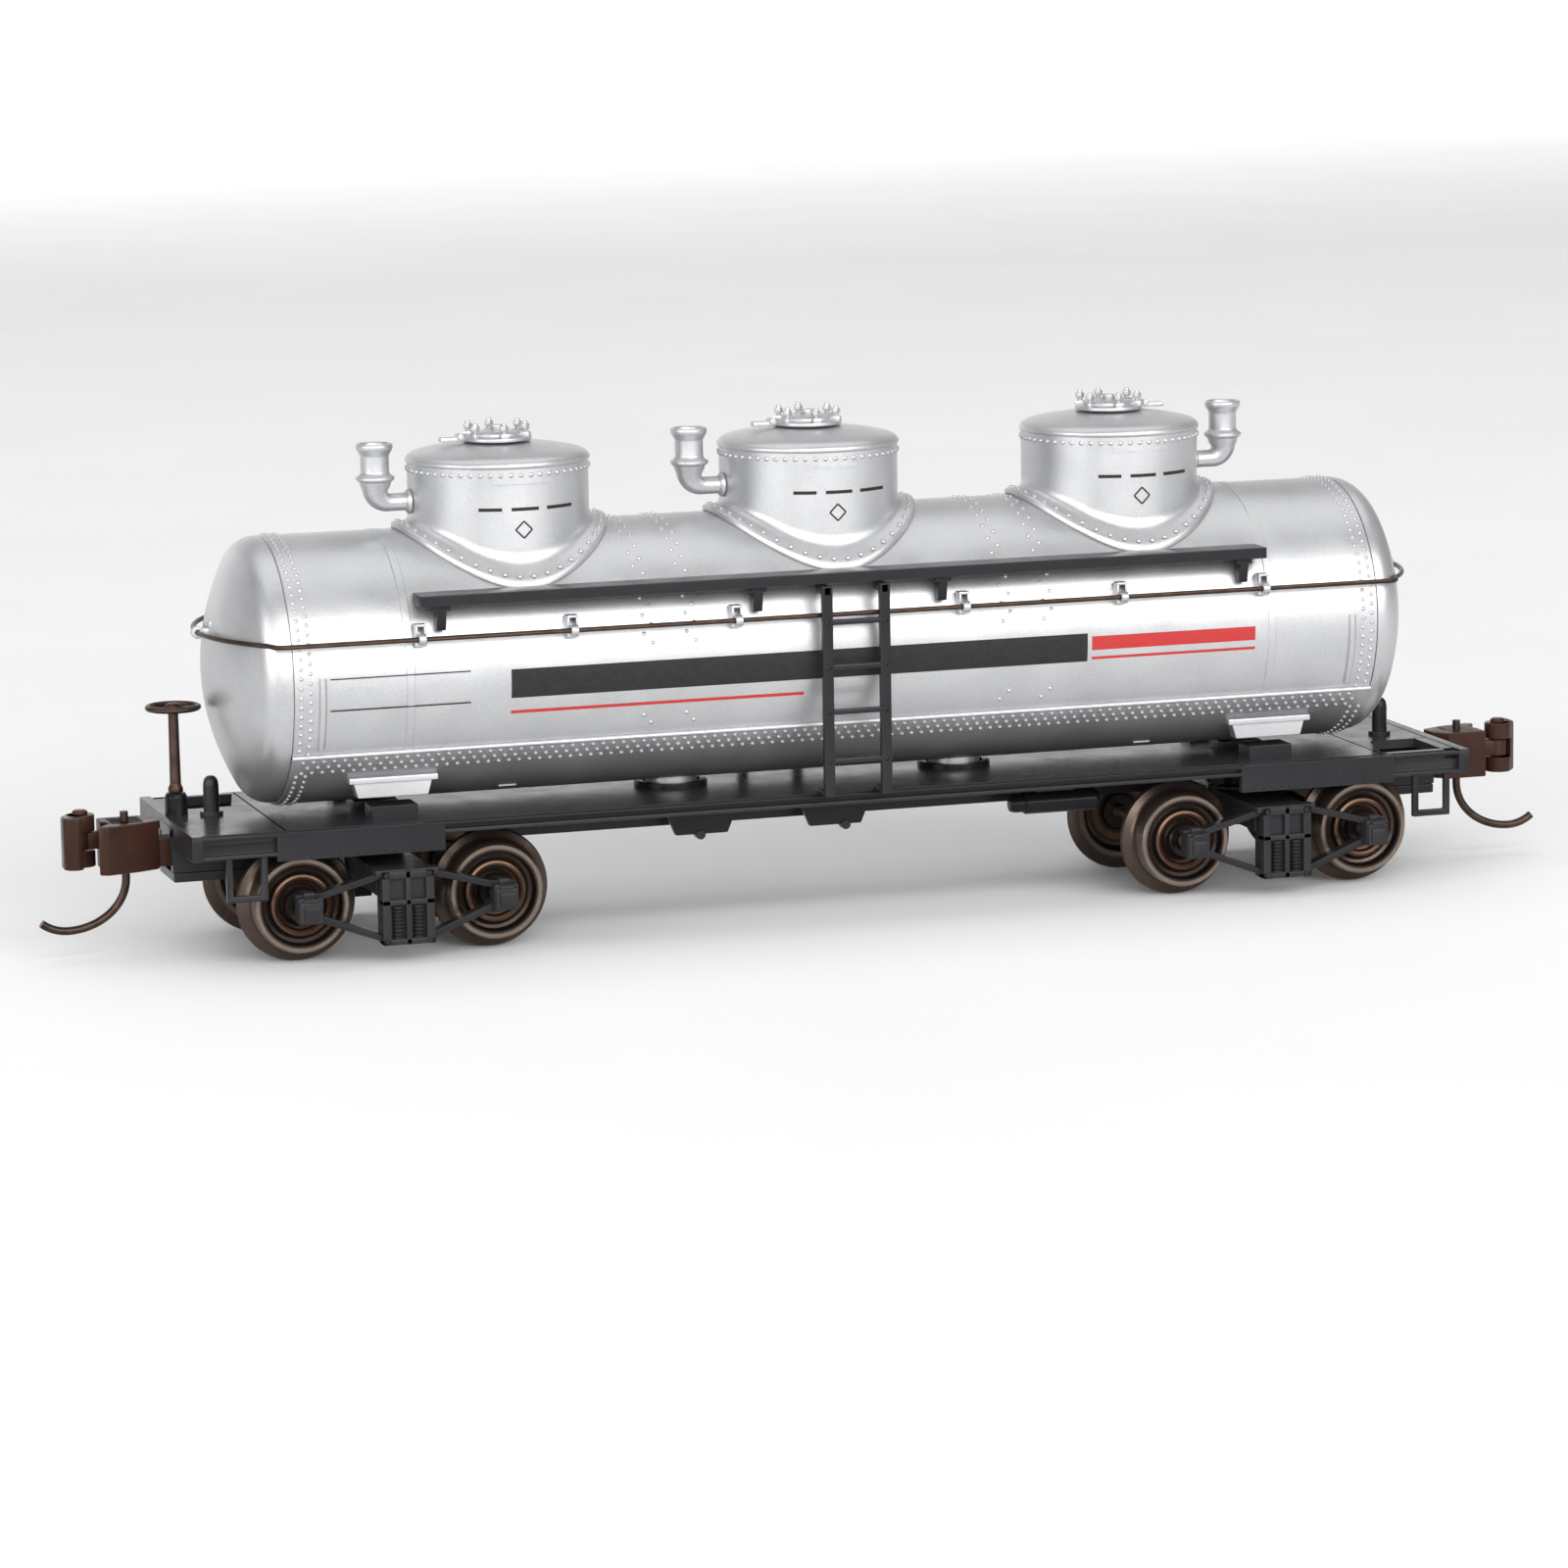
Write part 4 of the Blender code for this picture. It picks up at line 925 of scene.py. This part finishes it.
def make_ladders():
    """A ladder on each side, with hooks over the walkway, feet on the deck and bolted rungs."""
    outer = -LADDER_Y - 0.18
    inner = -LADDER_Y + 0.18
    low = DECK_TOP + 0.05
    shapes = []
    for side in (-1, 1):
        edge = (side * (LADDER_X - 0.3), side * (LADDER_X + 0.3))
        shapes.append(box(edge, (outer, inner), (low, LADDER_TOP), 0.07))
        hook = [(outer, LADDER_TOP), (outer, LADDER_TOP - 0.5), (-6.75, LADDER_TOP - 0.5)]
        hook.append((-6.4, LADDER_TOP))
        slim = sorted((side * (LADDER_X - 0.2), side * (LADDER_X + 0.2)))
        shapes.append(prism(hook, "x", slim, 0.05))
        shapes.append(box(edge, (inner - 0.1, -6.45), (low, low + 0.3), 0.06))
    rung_x = (-LADDER_X, LADDER_X)
    for height in RUNG_Z:
        shapes.append(box(rung_x, about(-LADDER_Y, 0.16), about(height, 0.15), 0.08))
        for side in (-1, 1):
            bolt = turned_about(laid(drum(0.13, (0, 0.06), 10, 0.03), "y"), math.pi)
            shapes.append(moved(bolt, side * LADDER_X, outer, height))
    at_each(SIDES, shapes, "ladder_frame_{}", BLACK, "wagon", "ladder_{}")


# ---- underframe


def channel_shape(bottom, span):
    """A far side channel along X, open outwards, from the deck down to the given height."""
    inner, web, outer = SILL_Y
    top = DECK_TOP - 0.07
    low = bottom + SILL_FLANGE
    high = top - SILL_FLANGE
    outline = [(inner, bottom), (outer, bottom), (outer, low), (web, low)]
    outline += [(web, high), (outer, high), (outer, top), (inner, top)]
    return prism(outline, "x", span, 0.05)


def sill_shapes():
    """The far side sill: shallow between the trucks and deeper at the ends."""
    join = PLATE_X[0] + 1.0
    shapes = [channel_shape(SILL_MIDDLE_BOTTOM, (-join, join))]
    for end in (-1, 1):
        span = sorted((end * join, end * (HALF_X - 0.1)))
        shapes.append(channel_shape(SILL_BOTTOM, span))
    return shapes


def step_shape(x):
    """A stirrup step under the near sill."""
    outer = 1.1
    inner = outer - 0.34
    high = SILL_BOTTOM + 0.1
    strap = [(-outer, high), (-outer, STEP_LOW), (outer, STEP_LOW), (outer, high)]
    strap += [(inner, high), (inner, STEP_LOW + 0.34), (-inner, STEP_LOW + 0.34), (-inner, high)]
    strap = [(x + across, z) for across, z in strap]
    return prism(strap, "y", (-STEP_Y - 0.15, -STEP_Y + 0.22), 0.07)


def deck_shapes():
    """The deck in strips, which leave one opening at each end."""
    thick = (DECK_TOP - 0.5, DECK_TOP)
    half = HALF_X - 0.05
    ends = [box((30.8, half), (-2.1, 6.35), thick, 0.0)]
    ends.append(box((34.6, half), (-6.35, -2.0), thick, 0.0))
    ends.append(box((30.8, half), (-6.35, -5.9), thick, 0.0))
    corner = [(30.8, -5.95), (31.0, -5.95), (31.9, -2.05), (30.8, -2.05)]
    ends.append(prism(corner, "z", thick, 0.0))
    return [box((-30.9, 30.9), (-6.35, 6.35), thick, 0.0)] + doubled(ends)


def plate_rivets():
    """Rivets on the deep plates of the near side sill."""
    count = 18
    low, high = PLATE_X
    places = []
    for number in range(count):
        x = low + 0.3 + number * (high - low - 0.6) / (count - 1)
        for z in (PLATE_BOTTOM + 0.18, DECK_TOP - 0.22):
            for side in (1, -1):
                places.append((Vector((side * x, -PLATE_Y, z)), Vector((0, -1, 0))))
    return rivets(places, 0.055, 6)


def coupler_box_shapes():
    """The housing of one coupler, and the round post that the coupler turns on."""
    front = HALF_X + 0.04
    shapes = []
    for side in (-1, 1):
        shapes.append(box((BOX_X, front), (side * 1.25, side * BOX_Y), (4.67, 7.0)))
    shapes.append(box((BOX_X, front), (-BOX_Y, BOX_Y), (6.5, 7.08)))
    shapes.append(box((BOX_X, 32.3), (-BOX_Y, BOX_Y), (4.67, 7.0)))
    shapes.append(moved(drum(0.5, (4.72, 6.7), 20), POST_X))
    return shapes


def frame_end_shapes():
    """What the underframe has at each end: sill plates, end sill, bolster, coupler box, steps."""
    shapes = []
    for side in (-1, 1):
        plate = (side * (SILL_Y[0] + 0.08), side * PLATE_Y)
        shapes.append(box(PLATE_X, plate, (PLATE_BOTTOM, DECK_TOP - 0.04), 0.04))
        saddle = (side * 3.6, side * 5.3)
        shapes.append(box(about(TRUCK_X, 1.25), saddle, (7.2, 8.1), 0.07))
    shapes.append(plate_rivets())
    shapes.append(box((35.3, HALF_X), about(0, SILL_Y[2] + 0.02), (SILL_BOTTOM - 0.03, DECK_TOP + 0.03)))
    shapes.append(box((19.4, 30.6), (-1.45, 1.45), (5.9, 6.97)))
    shapes.append(box(about(TRUCK_X, 1.3), (-6.32, 6.32), (6.2, 7.0), 0.06))
    shapes.append(moved(sleeve(0.62, 1.7, (5.3, 6.6), ease=0.06), TRUCK_X))
    shapes.append(box(about(TRUCK_X, 1.2), (-1.0, 1.0), (7.2, 7.7), 0.06))
    shapes += coupler_box_shapes()
    stub = [(0, 7.2), (0.42, 7.2), (0.42, 8.95), (0.36, 9.25), (0.2, 9.42), (0, 9.45)]
    shapes.append(moved(turned(rounded(stub, 0.06), 20), 33.4))
    shapes.append(moved(drum(0.62, (7.3, 7.55), 20), 33.4))
    shapes.append(moved(sleeve(1.6, 2.0, (7.2, 7.6)), TANK_SCREW_X))
    return shapes + [step_shape(33.7), step_shape(-33.0)]


def brake_gear_shapes():
    """The brake staff's boss, and the cylinder and two hangers under the deck."""
    boss = [(0.2, 7.2), (0.62, 7.2), (0.6, 8.3), (0.5, 8.5), (0.2, 8.5)]
    shapes = [moved(turned(rounded(boss, 0.04), 24, True), -BRAKE_X, BRAKE_Y)]
    cylinder = [(0, 10.2), (0.42, 10.2), (0.5, 10.5), (0.5, 11.0), (0.62, 11.05)]
    cylinder += [(0.62, 15.1), (0.45, 15.3), (0, 15.3)]
    shapes.append(moved(laid(turned(rounded(cylinder, 0.05), 24), "x"), y=-3.2, z=CYLINDER_Z))
    shapes.append(box((11.6, 13.9), (-3.4, -3.0), (5.6, 7.0)))
    for x, bolt in ((-7.3, -7.4), (0.25, 0.8)):
        plate = [(x - 2.3, 7.0), (x - 1.45, 5.0), (x + 1.45, 5.0), (x + 2.3, 7.0)]
        shapes.append(prism(plate, "y", (-3.15, -2.75), 0.05))
        shapes.append(moved(laid(drum(0.26, (-3.3, -2.6), 16), "y"), bolt, 0, 4.98))
    return shapes


def make_underframe():
    """The black moulding: deck, side sills, centre sill, both ends and the brake gear."""
    shapes = deck_shapes() + doubled(sill_shapes())
    shapes.append(box((-19.5, 19.5), (-1.5, 1.5), (5.3, 7.0), 0.06))
    shapes += doubled(frame_end_shapes()) + brake_gear_shapes()
    fixed_piece("underframe_moulding", shapes, BLACK, ["underframe"])


# ---- trucks


def truck_shape():
    """Arch-bar side frames: bars, a column with its windows, journal boxes and a bolster."""
    far = column_shapes()
    for end in (-1, 1):
        upper = [(1.3, 4.98), (1.3, 4.62), (4.5, 3.76), (5.9, 3.76), (5.9, 4.06), (4.6, 4.1)]
        lower = [(1.3, 1.25), (1.3, 1.6), (4.6, 2.92), (4.85, 2.62), (4.6, 2.5)]
        for bar in (upper, lower):
            far.append(prism([(end * x, z) for x, z in bar], "y", (6.6, 7.35), 0.05))
        far += journal_shapes(end * WHEELBASE / 2)
    bolster = [box((-1.5, 1.5), (-6.6, 6.6), (3.6, 5.0), 0.07), sleeve(0.75, 1.6, (3.6, 5.2))]
    return joined(bolster + doubled(far))


def column_shapes():
    """The column of a side frame: a framed plate with bolts, and two springs in its windows."""
    outer = (6.9, 7.7)
    shapes = [box((-1.38, 1.38), (6.35, 7.42), (1.12, 4.98))]
    for z in ((1.1, 1.42), (3.2, 3.5), (4.6, 5.0)):
        shapes.append(box((-1.4, 1.4), outer, z))
    for x in ((-1.4, -0.95), (-0.15, 0.15), (0.95, 1.4)):
        shapes.append(box(x, outer, (1.1, 5.0)))
    shapes.append(box((-1.7, 1.7), (6.7, 7.55), (4.72, 5.08), 0.06))
    for x in (-1.15, 1.15):
        for z in (4.8, 1.27):
            shapes.append(moved(laid(drum(0.16, (0, 0.12), 6, 0.02), "y"), x, 7.68, z))
    for x in (-0.55, 0.55):
        spring = [(x, 7.45, z / 20) for z in range(29, 64)]
        coils = [0.26 + 0.05 * (number % 4 < 2) for number in range(len(spring))]
        shapes.append(tube(spring, coils, 12))
    return shapes


def journal_shapes(x):
    """A journal box: its body, a lid with a raised edge, a hinge and a strap over it."""
    face = JOURNAL_Y
    low = AXLE_Z - 0.65
    high = AXLE_Z + 0.75
    shapes = [box(about(x, 0.65), (6.75, face - 0.25), (low, high), 0.09)]
    shapes.append(box(about(x, 0.6), (7.0, face - 0.1), (low + 0.08, high - 0.18), 0.09))
    shapes.append(box(about(x, 0.42), (7.0, face), (low + 0.22, high - 0.4), 0.07))
    shapes.append(moved(laid(drum(0.14, (-0.4, 0.4), 10), "x"), x, face - 0.22, high - 0.16))
    shapes.append(box(about(x, 0.3), (6.7, 7.5), (high - 0.1, high + 0.22), 0.06))
    return shapes


def wheel_shape():
    """A turned wheel round Y with its rim ring, web ridge, hub and flange."""
    width = WHEEL_WIDTH
    bore = 0.44
    profile = [(bore, 0.32), (0.95, 0.32), (1.05, 0.5), (1.95, 0.5), (2.1, 0.12), (2.2, 0.0)]
    profile += [(2.98, 0.0), (FLANGE_R - 0.05, 0.08), (FLANGE_R, 0.2), (FLANGE_R - 0.08, 0.36)]
    profile += [(2.8, 0.5), (TREAD_R + 0.08, 0.62), (TREAD_R + 0.02, 0.8), (TREAD_R, width - 0.1)]
    profile += [(TREAD_R - 0.08, width), (2.16, width), (2.08, width - 0.1), (2.02, width - 0.42)]
    profile += [(1.86, width - 0.5), (1.72, width - 0.42), (1.62, width - 0.2), (1.5, width - 0.14)]
    profile += [(1.38, width - 0.2), (1.28, width - 0.46), (1.1, width - 0.52), (0.98, width - 0.42)]
    profile += [(0.92, width - 0.08), (0.84, width), (0.56, width), (bore, width - 0.1)]
    return laid(moved(turned(profile, 96, True), z=BACK_Y), "y")


def axle_shape():
    """An axle along Y with a needle point at each end."""
    profile = [(0, -7.15), (0.1, -7.0), (0.38, -6.25), (0.42, -6.05), (0.42, -4.2), (0.36, -3.9)]
    profile += [(radius, -height) for radius, height in reversed(profile)]
    return laid(turned(rounded(profile, 0.04), 32), "y")


def make_trucks():
    """Two trucks, each with its side frames and two wheelsets."""
    side_frames = moved(truck_shape(), TRUCK_X)
    wheel = wheel_shape()
    axle = axle_shape()
    for end, turn in ENDS.items():
        name = "truck_side_frames_" + end
        piece(name, side_frames, TRUCK_BLACK, "truck_" + end, ["truck_frame_" + end], turn=turn)
        for place, x in (("outer", WHEELBASE / 2), ("inner", -WHEELBASE / 2)):
            label = end + "_" + place
            body = "wheelset_" + label
            spot = (TRUCK_X + x, 0, AXLE_Z)
            shaft = moved(axle.copy(), *spot)
            piece("axle_rod_" + label, shaft, STEEL, body, ["axle_" + label], spot, turn)
            for side, flip in (("left", 0.0), ("right", math.pi)):
                disc = moved(turned_about(wheel.copy(), flip), *spot)
                name = label + "_" + side
                piece("wheel_disc_" + name, disc, BRONZE, body, ["wheel_" + name], spot, turn)


# ---- couplers


def coupler_shapes():
    """The coupler: a shank with its pivot eye, a stepped head and a tongue for the knuckle."""
    x0, x1 = HEAD_X
    pin_x, pin_y = KNUCKLE
    top = HEAD_Z[1]
    shapes = [moved(sleeve(0.56, 0.85, SHANK_Z, ease=0.04), POST_X)]
    shapes.append(box((POST_X + 0.6, x0 + 0.3), (-0.62, 0.62), SHANK_Z, 0.06))
    head = [(x0, -0.75), (x0 + 0.7, -1.35), (x1 - 0.1, -1.35), (x1 - 0.1, -0.1), (x1 - 0.45, 0.45)]
    head += [(x1, 1.1), (x1 + 0.35, 1.5), (x1 - 0.1, 1.75), (x0 + 1.2, 1.3), (x0, 0.75)]
    shapes.append(prism(head, "z", HEAD_Z, 0.09))
    shapes.append(box((x0 + 0.8, x1 - 0.5), (-1.0, 1.0), (top - 0.1, top), 0.03))
    shapes.append(moved(sleeve(0.22, 0.5, TONGUE_Z, 20, 0.04), pin_x, pin_y))
    shapes.append(box((x1 - 0.6, pin_x - 0.3), (pin_y - 0.36, pin_y + 0.36), TONGUE_Z))
    return shapes


def knuckle_shapes():
    """The knuckle: an eye above and below the tongue, a back and a hooked nose."""
    low, high = KNUCKLE_Z
    web = [(40.25, -1.4), (40.75, -1.3), (41.1, -0.95), (41.1, 0.1), (40.45, -0.1), (40.2, -0.4)]
    shapes = []
    for span in ((low, TONGUE_Z[0] - 0.08), (TONGUE_Z[1] + 0.08, high)):
        shapes.append(moved(sleeve(0.2, 0.75, span), *KNUCKLE))
        shapes.append(prism(web, "z", span, 0.05))
    nose = [(40.92, -1.1), (41.25, -0.8), (41.4, -0.45), (41.42, 0.3), (41.25, 0.62), (40.75, 0.78)]
    nose += [(40.4, 0.6), (40.45, 0.2), (40.95, 0.0)]
    shapes.append(prism(nose, "z", (low, high), 0.09))
    return shapes


def trip_points():
    """The trip pin's line: down through the head, then forward in one curve."""
    reach = 3.2
    curl = 2.2
    low = TRIP_X + reach
    line = [(TRIP_X, HEAD_Z[1] + 0.5)]
    line += arc((low, TRIP_BEND_Z), (reach, TRIP_BEND_Z - TRIP_LOW), 180, 270, 18)
    line += arc((low, TRIP_LOW + curl), (curl, curl), -90, -51, 6)[1:]
    return [(x, 0, z) for x, z in line]


def make_couplers():
    """At each end a coupler, its knuckle, knuckle pin and trip pin, and the box's cover."""
    body = "coupler_{}"
    at_each(ENDS, coupler_shapes(), "coupler_head_{}", COUPLER_BROWN, body, "coupler_{}")
    at_each(ENDS, knuckle_shapes(), "knuckle_claw_{}", COUPLER_BROWN, "knuckle_{}", "knuckle_{}")
    wire = tube(trip_points(), TRIP_R)
    at_each(ENDS, [wire], "trip_wire_{}", BROWNED, body, "trip_pin_{}")
    low, high = KNUCKLE_Z
    pin = [(0, low), (0.16, low), (0.16, high + 0.02), (0.42, high + 0.02), (0.42, high + 0.16)]
    pin += [(0.3, high + 0.25), (0, high + 0.26)]
    pin = moved(turned(rounded(pin, 0.03), 20), *KNUCKLE)
    at_each(ENDS, [pin], "knuckle_rivet_{}", COUPLER_BROWN, body, "knuckle_pin_{}")
    cover = [box((BOX_X, HALF_X), (-BOX_Y, BOX_Y), (4.15, 4.65), 0.07)]
    cover.append(box((32.0, 35.4), (-1.3, 1.3), (4.1, 4.3)))
    at_each(ENDS, cover, "coupler_box_lid_{}", BLACK, "wagon", "coupler_box_cover_{}")


# ---- brake wheel


def make_brake_wheel():
    """A dished handwheel with five spokes on a tapered staff."""
    wire = HANDWHEEL_WIRE
    shapes = [turned(arc((HANDWHEEL_R, HANDWHEEL_Z), (wire, wire), 0, 324, 9), 48, True)]
    hub = [(0, 12.8), (0.34, 12.85), (0.44, 12.95), (0.44, 13.12), (0.3, 13.28), (0, 13.32)]
    shapes.append(turned(rounded(hub, 0.04), 24))
    bend = [(0.3, 0, 13.0), (0.75, 0, 12.94), (1.05, 0, 12.98), (1.3, 0, 13.05)]
    for step in range(5):
        spoke = tube(bend, [0.13, 0.11, 0.11, 0.12], 10)
        shapes.append(turned_about(spoke, math.tau * step / 5))
    staff = [(0, 8.53), (0.4, 8.53), (0.4, 8.75), (0.3, 8.95), (0.27, 12.9), (0, 12.95)]
    shapes.append(turned(rounded(staff, 0.05), 20))
    shapes.append(drum(0.17, (7.55, 8.6), 12))
    shape = moved(joined(shapes), -BRAKE_X, BRAKE_Y)
    foot = (-BRAKE_X, BRAKE_Y, 0)
    piece("brake_handwheel", shape, BROWNED, "brake_wheel", ["brake_wheel"], foot)
    shape.free()


# ---- kept nodes, stage


def dress_kept_nodes():
    """Better materials for the CAD nodes that are shown as they are."""
    finishes = {
        "weight_bar": STEEL, "tank_screw": STEEL, "coupler_box_screw": STEEL,
        "centring_spring": BRASS, "truck_pin": TRUCK_BLACK,
    }
    for name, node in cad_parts.items():
        for start, finish in finishes.items():
            if name.startswith(start):
                node.data.materials.clear()
                node.data.materials.append(finish)


def make_floor():
    """A pale floor with a swept-up back, in metres."""
    rows = [(-3.0, 0.0)] + arc((1.2, 0.8), (0.8, 0.8), -90, 0, 12) + [(2.0, 3.0)]
    made = bmesh.new()
    pairs = [[made.verts.new((x, y, z)) for x in (-4.0, 4.0)] for y, z in rows]
    for low, high in zip(pairs, pairs[1:]):
        made.faces.new([low[0], low[1], high[1], high[0]])
    mesh = bpy.data.meshes.new("floor")
    made.to_mesh(mesh)
    made.free()
    mesh.shade_smooth()
    paper = Finish("floor")
    tone = paper.blend(paper.spread(paper.noise(30.0, 2.0)), *FLOOR_TONES)
    paper.put(tone, paper.inputs["Base Color"])
    paper.put(0.75, paper.inputs["Roughness"])
    mesh.materials.append(paper.made)
    floor = bpy.data.objects.new("floor", mesh)
    bpy.context.scene.collection.objects.link(floor)


def make_lights():
    """A white sky, the soft lamps and an even tone curve."""
    world = bpy.data.worlds.new("studio")
    world.use_nodes = True
    sky = world.node_tree.nodes["Background"]
    sky.inputs["Color"].default_value = (1.0, 1.0, 1.0, 1.0)
    sky.inputs["Strength"].default_value = SKY
    bpy.context.scene.world = world
    bpy.context.scene.view_settings.view_transform = "Standard"
    for name, (spot, aim, size, power) in LAMPS.items():
        light = bpy.data.lights.new(name, "AREA")
        light.shape = "RECTANGLE"
        light.size, light.size_y = size
        light.energy = power
        lamp = bpy.data.objects.new(name, light)
        lamp.location = spot
        away = Vector(spot) - Vector(aim)
        lamp.rotation_euler = away.to_track_quat("Z", "Y").to_euler()
        bpy.context.scene.collection.objects.link(lamp)


def make_camera():
    """A long lens at the photograph's angle: turned from +Y towards +X, dipped, then rolled."""
    turn = math.radians(CAMERA_TURN)
    dip = math.radians(CAMERA_DIP)
    roll = math.radians(CAMERA_ROLL)
    view = Matrix.Rotation(-turn, 4, "Z") @ Matrix.Rotation(math.pi / 2 - dip, 4, "X")
    lens = bpy.data.cameras.new("camera")
    lens.lens = CAMERA_LENS
    lens.sensor_width = 36.0
    lens.clip_start = 0.01
    lens.clip_end = 20.0
    camera = bpy.data.objects.new("camera", lens)
    camera.matrix_world = Matrix.Translation(CAMERA_AT) @ view @ Matrix.Rotation(roll, 4, "Z")
    bpy.context.scene.collection.objects.link(camera)
    bpy.context.scene.camera = camera


make_barrel()
make_belly()
make_heads()
make_domes()
make_stripes()
make_handrail()
make_walkways()
make_ladders()
make_underframe()
make_trucks()
make_couplers()
make_brake_wheel()
dress_kept_nodes()
make_floor()
make_lights()
make_camera()
